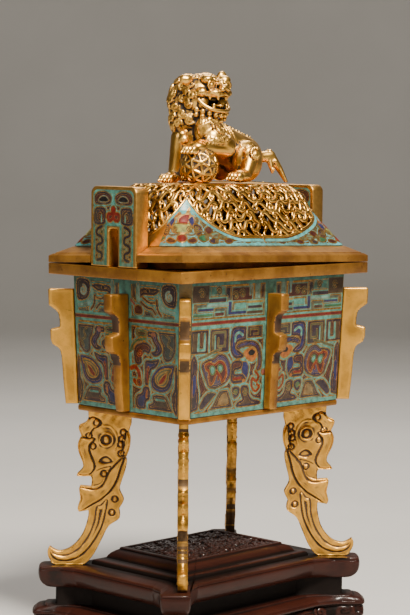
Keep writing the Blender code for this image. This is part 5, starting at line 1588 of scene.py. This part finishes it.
def add_camera():
    """The camera at the photograph's angle, distance and slight roll."""
    azimuth, roll = math.radians(CAMERA_AZIMUTH), math.radians(CAMERA_ROLL)
    back = direction(CAMERA_AZIMUTH, CAMERA_ELEVATION)
    right = Vector((math.cos(azimuth), math.sin(azimuth), 0))
    up = back.cross(right)
    right_rolled = right * math.cos(roll) + up * math.sin(roll)
    up_rolled = up * math.cos(roll) - right * math.sin(roll)
    aim = Vector((*VESSEL_AT, AIM_HEIGHT)) - right * AIM_LEFT
    camera = bpy.data.cameras.new("camera")
    camera.sensor_width, camera.sensor_fit = 36.0, "AUTO"
    camera.lens = 36.0 * FOCAL_SHARE
    camera.clip_start = 0.05
    holder = link("camera", camera)
    turn = Matrix((right_rolled, up_rolled, back)).transposed().to_4x4()
    holder.matrix_world = Matrix.Translation(aim + back * CAMERA_AWAY) @ turn
    bpy.context.scene.camera = holder


# Mouldings and stand

SHARP = 35


def add_moulding(node, name):
    """A copy of a solid with its sharp edges eased by a small bevel."""
    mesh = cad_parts[node].data.copy()
    mesh.name = name
    build = bmesh.new()
    build.from_mesh(mesh)
    bmesh.ops.remove_doubles(build, verts=build.verts, dist=2e-6)
    bmesh.ops.dissolve_limit(build, angle_limit=math.radians(1.0), verts=build.verts, edges=build.edges)
    build.to_mesh(mesh)
    build.free()
    holder = hold(name, mesh)
    apply_modifier(holder, "BEVEL", width=0.0005, segments=2, limit_method="ANGLE", angle_limit=math.radians(SHARP))
    finish_piece(name, release(holder), worn_gilt(), [node], smooth=SHARP)


STAND_HALF = (BODY_FOOT[0] + 0.0064, BODY_FOOT[1])
TAB_AXIS = CORNER[0] - CORNER[1]
TAB_END = (CORNER[0] + CORNER[1]) / math.sqrt(2) + 0.197 * LEG_HEIGHT + 0.0016
TAB_HALF = 11.2
FIELD = (STAND_HALF[0] - 0.0455, STAND_HALF[1] - 0.0265)
FOOT_TALL = 0.010
APRON_LOW, APRON_HIGH = 0.0112, 0.0203
PLAN_STEPS = 9

# Inset from the top board's edge, half width of the tab, and height, all in millimetres
STAND_LEVELS = [
    (-2.6, 12.2, 10.0), (-3.4, 12.4, 10.4), (-5.0, 13.2, 12.6), (-5.5, 13.5, 14.6), (-5.2, 13.3, 16.8),
    (-4.2, 12.8, 19.0),
    (-3.0, 12.3, 20.6), (-2.9, 12.3, 21.0), (-5.6, 13.2, 21.2), (-6.0, 13.4, 21.8), (-6.0, 13.4, 22.6),
    (-5.5, 13.2, 23.3),
    (-4.6, 12.9, 23.5), (-4.3, 12.8, 23.9), (-3.2, 12.4, 24.9), (-1.0, 11.6, 26.0), (2.0, 10.8, 26.8),
    (4.6, 10.2, 27.2),
    (5.0, 10.0, 27.5), (5.1, 9.9, 28.0), (12.4, 8.0, 28.0), (13.0, 7.8, 28.6), (13.0, 7.8, 41.0), (12.4, 8.0, 41.5),
    (8.8, 8.6, 41.5), (6.4, 9.3, 41.9), (4.6, 9.8, 42.8), (3.0, 10.2, 44.0), (1.8, 10.5, 45.4), (0.9, 10.8, 47.0),
    (0.3, 11.0, 49.0), (0.0, 11.2, 51.5), (0.0, 11.2, 54.2), (0.25, 11.15, 54.9), (0.75, 11.0, 55.1),
    (0.75, 11.0, 55.35),
    (0.35, 11.1, 55.5), (0.45, 11.1, 56.4), (0.9, 10.9, 57.1), (1.7, 10.7, 57.5),
]
# Outside the field's edge, and height over the top board
FIELD_LEVELS = [
    (24.0, 14.0, 0.0), (23.9, 13.9, 1.2), (23.3, 13.5, 2.5), (22.3, 12.8, 3.3), (21.0, 12.0, 3.7), (15.0, 9.2, 4.0),
    (13.8, 8.6, 4.2), (13.4, 8.3, 4.8), (12.4, 7.7, 6.4), (10.4, 6.5, 8.2), (7.6, 4.9, 9.7), (5.2, 3.6, 10.4),
    (4.9, 3.4, 10.6), (4.8, 3.3, 11.4), (4.2, 2.9, 11.9), (3.4, 2.3, 12.0), (0.7, 0.7, 12.0), (0.2, 0.2, 11.6),
    (0.0, 0.0, 10.0), (-1.0, -1.0, 9.2),
]


def stand_plan(inset, half_width, steps):
    """The stand's plan, with a tab at each corner set square to the diagonal: one quarter, then mirrored."""
    half_x, half_y = STAND_HALF[0] - inset, STAND_HALF[1] - inset
    across, end = TAB_AXIS / math.sqrt(2), TAB_END - (1.03 if inset > 0 else 0.74) * inset

    def diagonal(along, side):
        return np.array([along + side, along - side]) / math.sqrt(2)

    root_x = np.array([half_x, half_x - math.sqrt(2) * (across + half_width * 1.42)])
    root_y = np.array([half_y + math.sqrt(2) * (across - half_width * 1.42), half_y])
    tip_x, tip_y = diagonal(end, across + half_width), diagonal(end, across - half_width)
    cusp, ease = 0.12 * half_width, 0.16 * half_width
    turn = np.array([-ease, ease])
    quarter = [root_x + (0, -4 * cusp), root_x + (0.2 * cusp, -cusp), root_x + (0.9 * cusp, 0.9 * cusp)]
    quarter += [root_x + 0.42 * (tip_x - root_x) + turn, root_x + 0.84 * (tip_x - root_x) + 0.25 * turn]
    quarter += [tip_x + 0.13 * (tip_y - tip_x), tip_y + 0.13 * (tip_x - tip_y)]
    quarter += [root_y + 0.84 * (tip_y - root_y) - 0.25 * turn, root_y + 0.42 * (tip_y - root_y) - turn]
    quarter += [root_y + (0.9 * cusp, 0.9 * cusp), root_y + (-cusp, 0.2 * cusp), root_y + (-4 * cusp, 0)]
    quarter = np.array(quarter)
    ring = np.vstack([quarter, quarter[::-1] * (-1, 1), quarter * (-1, -1), quarter[::-1] * (1, -1)])
    count = len(quarter)
    corners = {side * count for side in range(4)} | {side * count - 1 for side in range(1, 5)}
    return smooth_loop(ring, corners, steps)


def spiral_gap(x, y, radius, turns, start, hand):
    """Distance to a spiral round the origin."""
    turn = np.linspace(0, 1, 16)
    angle = start + hand * 2 * np.pi * turns * turn
    reach = radius * (1 - 0.85 * turn)
    return path_gap(x, y, np.stack([reach * np.cos(angle), reach * np.sin(angle)], -1))


def carved_field(x, y):
    """Height of the cloud and blossom carving on the stand's field, from 0 in the ground to 1."""
    height = np.zeros(x.shape)
    pitch = 0.0078
    for row in range(-5, 6):
        for place in range(-7, 8):
            shift = scatter(place, row)
            other = (shift * 57.31) % 1
            at_x = (place + 0.5 * (row % 2) + 0.5 * (shift - 0.5)) * pitch
            at_y = (row + 0.5 * (other - 0.5)) * pitch
            near = (np.abs(x - at_x) < 0.007) & (np.abs(y - at_y) < 0.007)
            if not near.any():
                continue
            u, v = x[near] - at_x, y[near] - at_y
            if shift < 0.3:
                ring, turn = np.hypot(u, v), np.arctan2(v, u)
                petal = 0.0042 * (0.72 + 0.28 * np.abs(np.cos(2.5 * turn + 6 * other)))
                motif = np.clip((petal - ring) / 0.0007, 0, 1) * (0.55 + 0.45 * np.clip(ring / 0.003, 0, 1))
                motif = np.maximum(motif, np.clip(1 - (ring / 0.0013) ** 2, 0, 1))
            else:
                gap = spiral_gap(u, v, 0.0043, 1.25, 6.28 * other, 1 if other > 0.5 else -1)
                motif = bead(gap, 0.00125) * (0.75 + 0.25 * shift)
            height[near] = np.maximum(height[near], motif)
    return height


def carve_boards(points):
    """Sinks scroll carving into the apron, keeping the plan."""
    low = (points[:, 2] > APRON_LOW) & (points[:, 2] < APRON_HIGH)
    x, y, z = points[low].T
    long_side = np.abs(y) > np.abs(x) * STAND_HALF[1] / STAND_HALF[0]
    run = np.where(long_side, x, y + 0.006)
    pitch = 0.0170
    local = run - np.round(run / pitch) * pitch
    hand = np.where(np.round(run / pitch) % 2 == 0, 1, -1)
    u, v = local * hand, z - 0.0158
    gap = spiral_gap(u, v, 0.0052, 1.3, 2.6, 1)
    gap = np.minimum(gap, path_gap(u, v, np.array([(-0.0085, -0.002), (-0.003, -0.0036), (0.004, -0.0030)])))
    edge = np.clip(np.minimum(z - APRON_LOW, APRON_HIGH - z) / 0.0008, 0, 1)
    sink = 0.0011 * (1 - bead(gap, 0.0014)) * edge
    length = np.hypot(x, y)
    points[low, 0] -= sink * np.where(long_side, 0, np.sign(x)) + 0.2 * sink * x / length
    points[low, 1] -= sink * np.where(long_side, np.sign(y), 0) + 0.2 * sink * y / length
    return points


def foot_part(sign_x, sign_y):
    """A bracket foot under one corner and its tab."""
    outline = stand_plan(0.0015, TAB_HALF * MM * 0.95, 4)
    corner = outline[:12 * 4 - 3]
    length, depth = 0.020, 0.012
    last, first = corner[-1], corner[0]
    corner = np.vstack([corner, last + (-length * 0.45, 0), last + (-length, 0), last + (-length, -depth),
                        (first[0] - depth, first[1] - length), first + (0, -length), first + (0, -length * 0.45)])
    rings = []
    for spread, height in ((0.965, 0.0), (0.972, 0.0006), (0.985, 0.003), (1.0, 0.007), (1.0, FOOT_TALL + 0.003)):
        rings.append(np.c_[corner * (sign_x * spread, sign_y * spread), np.full(len(corner), height)])
    return np.vstack(rings), capped_faces(len(rings), len(corner))


def add_stand(grid):
    """The carved hardwood stand: boards and waist in one loft, feet, and the carved field let into the top."""
    rings = []
    for inset, half, z in STAND_LEVELS:
        plan = stand_plan(inset * MM, half * MM, PLAN_STEPS)
        rings.append(np.c_[plan, np.full(len(plan), z * MM)])
    fine = []
    for low, high in zip(rings, rings[1:]):
        pieces = 5 if 0.0103 < low[0, 2] < 0.0200 else 1
        fine += [low + (high - low) * share for share in np.arange(pieces) / pieces]
    rings = fine + [rings[-1]]
    top = rings[-1]
    for out_x, out_y, rise in FIELD_LEVELS:
        half_x, half_y = FIELD[0] + out_x * MM, FIELD[1] + out_y * MM
        reach = np.maximum(np.abs(top[:, 0]) / half_x, np.abs(top[:, 1]) / half_y)
        rings.append(np.c_[top[:, :2] / reach[:, None], np.full(len(top), STAND_TOP + rise * MM)])
    body = carve_boards(np.vstack(rings)), capped_faces(len(rings), len(top))
    half_x, half_y = FIELD[0] - 0.0006, FIELD[1] - 0.0006
    columns, rows = int(2 * half_x / grid) + 1, int(2 * half_y / grid) + 1
    x, y = np.meshgrid(np.linspace(-half_x, half_x, columns), np.linspace(-half_y, half_y, rows))
    x, y = x.ravel(), y.ravel()
    edge = np.clip(np.minimum(half_x - np.abs(x), half_y - np.abs(y)) / 0.0008, 0, 1)
    z = STAND_TOP + 0.0101 + 0.0018 * carved_field(x, y) * edge
    field = backed_sheet(np.c_[x, y, z], np.c_[x, y, np.full(len(x), STAND_TOP + 0.0080)], rows, columns)
    feet = [foot_part(sign_x, sign_y) for sign_x in (-1, 1) for sign_y in (-1, 1)]
    mesh = array_mesh("carved_stand", *gather([body, field, *feet]))
    finish_piece("carved_stand", mesh, hardwood(), ["wooden_stand"], smooth=40)
    mark_hollows(mesh, 6, 0.0003, 0.004)


# Panel, operators and settings

class DingSizes(bpy.types.PropertyGroup):
    """How finely the pieces are worked."""

    enamel_grid: bpy.props.FloatProperty(
        name="Enamel grid", description="Spacing of the points that carry the enamel drawing",
        default=0.0005, min=0.0003, max=0.002, precision=5, subtype="DISTANCE", unit="LENGTH")
    relief_grid: bpy.props.FloatProperty(
        name="Relief grid", description="Spacing of the points of the cast relief on the legs",
        default=0.0005, min=0.0003, max=0.002, precision=5, subtype="DISTANCE", unit="LENGTH")
    flange_grid: bpy.props.FloatProperty(
        name="Flange grid", description="Spacing of the points on the hooked flanges",
        default=0.00075, min=0.0004, max=0.002, precision=5, subtype="DISTANCE", unit="LENGTH")
    lion_grain: bpy.props.FloatProperty(
        name="Lion grain", description="Size of the smallest feature kept on the cast lion",
        default=0.0005, min=0.0003, max=0.002, precision=5, subtype="DISTANCE", unit="LENGTH")
    dome_rows: bpy.props.IntProperty(
        name="Scroll rows", description="Rows of scrolls between the enamel and the crown", default=7, min=2, max=14)
    dome_cells: bpy.props.IntProperty(
        name="Scroll columns", description="Scrolls round the dome's foot", default=44, min=12, max=120)


class DingColours(bpy.types.PropertyGroup):
    """Colours of the metal and wood."""

    gilding: bpy.props.FloatVectorProperty(
        name="Gilding", description="Clean matt gilding on legs and corner flanges",
        default=(0.90, 0.47, 0.080), min=0, max=1, size=3, subtype="COLOR")
    worn_gilding: bpy.props.FloatVectorProperty(
        name="Worn gilding", description="Rubbed gilding on rim, base and cover edge",
        default=(0.49, 0.225, 0.036), min=0, max=1, size=3, subtype="COLOR")
    hardwood: bpy.props.FloatVectorProperty(
        name="Hardwood", description="Lighter grain of the stand",
        default=(0.020, 0.0045, 0.0028), min=0, max=1, size=3, subtype="COLOR")


class DingOperator(bpy.types.Operator):
    """Shared by the makers of the ding's pieces."""

    bl_options = {"REGISTER", "UNDO"}

    @property
    def sizes(self):
        return bpy.context.scene.ding_sizes


class DING_OT_walls(DingOperator):
    """Four enamelled walls over the vessel's body"""

    bl_idname = "ding.walls"
    bl_label = "Enamelled walls"

    def execute(self, context):
        grid = self.sizes.enamel_grid
        side_sheet("front_wall", 0, -1, draw_long_side, grid)
        side_sheet("back_wall", 0, 1, draw_long_side, grid)
        side_sheet("left_wall", 1, -1, draw_short_side, grid)
        side_sheet("right_wall", 1, 1, draw_short_side, grid)
        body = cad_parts["vessel_body"]
        body.data.materials.clear()
        body.data.materials.append(aged_bronze())
        return {"FINISHED"}


class DING_OT_mouldings(DingOperator):
    """Base plate and rim of worn gilding"""

    bl_idname = "ding.mouldings"
    bl_label = "Base and rim"

    def execute(self, context):
        add_moulding("base_plate", "base_moulding")
        add_moulding("rim_plate", "rim_moulding")
        return {"FINISHED"}


class DING_OT_legs(DingOperator):
    """Four flat dragon legs with cast relief"""

    bl_idname = "ding.legs"
    bl_label = "Dragon legs"

    def execute(self, context):
        for side in SIDES:
            add_leg(side, self.sizes.relief_grid)
        return {"FINISHED"}


class DING_OT_flanges(DingOperator):
    """Eight hooked flanges, at the corners and the middles of the sides"""

    bl_idname = "ding.flanges"
    bl_label = "Hooked flanges"

    def execute(self, context):
        grid = self.sizes.flange_grid
        lean_x, lean_y = ((BODY_TOP[axis] - BODY_FOOT[axis]) / BODY_HEIGHT for axis in (0, 1))
        lean = (lean_x + lean_y) / math.sqrt(2)
        gap = 0.0003
        for side, (x, y) in SIDES.items():
            at = (x * (CORNER[0] + gap), y * (CORNER[1] + gap))
            add_flange(f"corner_flange_{side}", at, (x, y), (0.0192, 0.0118, 0.0098), lean, bright_gilt(), grid)
        for name, sign in (("ear_side_flange_left", -1), ("ear_side_flange_right", 1)):
            at = (sign * (BODY_FOOT[0] + gap), 0)
            add_flange(name, at, (sign, 0), (0.0182, 0.0102, 0.0076), lean_x, worn_gilt(), grid)
        for name, sign in (("long_side_flange_front", -1), ("long_side_flange_back", 1)):
            at = (0, sign * (BODY_FOOT[1] + gap))
            add_flange(name, at, (0, sign), (0.0150, 0.0084, 0.0073), lean_y, worn_gilt(), grid)
        return {"FINISHED"}


class DING_OT_ears(DingOperator):
    """Two upright ears with enamelled faces"""

    bl_idname = "ding.ears"
    bl_label = "Ears"

    def execute(self, context):
        add_ear("ear_left", -1, self.sizes.enamel_grid)
        add_ear("ear_right", 1, self.sizes.enamel_grid)
        return {"FINISHED"}


class DING_OT_cover(DingOperator):
    """The cover's gilt border and its enamelled slopes"""

    bl_idname = "ding.cover"
    bl_label = "Cover"

    def execute(self, context):
        add_cover_frame()
        add_cover_enamel(900, 64)
        return {"FINISHED"}


class DING_OT_dome(DingOperator):
    """The pierced dome of scrolls"""

    bl_idname = "ding.dome"
    bl_label = "Pierced dome"

    def execute(self, context):
        add_openwork(self.sizes.dome_rows, self.sizes.dome_cells)
        return {"FINISHED"}


class DING_OT_lion(DingOperator):
    """The seated lion with its ball"""

    bl_idname = "ding.lion"
    bl_label = "Lion"

    def execute(self, context):
        add_lion(self.sizes.lion_grain)
        return {"FINISHED"}


class DING_OT_stand(DingOperator):
    """The carved hardwood stand"""

    bl_idname = "ding.stand"
    bl_label = "Wooden stand"

    def execute(self, context):
        add_stand(0.0006)
        return {"FINISHED"}


class DING_OT_stage(DingOperator):
    """Pale floor, soft lights and the camera"""

    bl_idname = "ding.stage"
    bl_label = "Stage"

    def execute(self, context):
        add_floor()
        add_lights()
        add_camera()
        return {"FINISHED"}


MAKERS = (
    DING_OT_walls, DING_OT_mouldings, DING_OT_legs, DING_OT_flanges, DING_OT_ears, DING_OT_cover,
    DING_OT_dome, DING_OT_lion, DING_OT_stand, DING_OT_stage,
)


class DING_PT_maker(bpy.types.Panel):
    """Lists the ding's pieces in the order they are made"""

    bl_label = "Square bronze ding"
    bl_idname = "DING_PT_maker"
    bl_space_type = "VIEW_3D"
    bl_region_type = "UI"
    bl_category = "Ding"

    def draw(self, context):
        layout = self.layout
        for settings in (context.scene.ding_sizes, context.scene.ding_colours):
            box = layout.box()
            for name in settings.__annotations__:
                box.prop(settings, name)
        for maker in MAKERS:
            layout.operator(maker.bl_idname)


CLASSES = (DingSizes, DingColours, *MAKERS, DING_PT_maker)


def register():
    for entry in CLASSES:
        bpy.utils.register_class(entry)
    bpy.types.Scene.ding_sizes = bpy.props.PointerProperty(type=DingSizes)
    bpy.types.Scene.ding_colours = bpy.props.PointerProperty(type=DingColours)


def unregister():
    del bpy.types.Scene.ding_colours
    del bpy.types.Scene.ding_sizes
    for entry in reversed(CLASSES):
        bpy.utils.unregister_class(entry)


def main():
    register()
    for maker in MAKERS:
        group, name = maker.bl_idname.split(".")
        getattr(getattr(bpy.ops, group), name)()


if __name__ == "__main__":
    main()
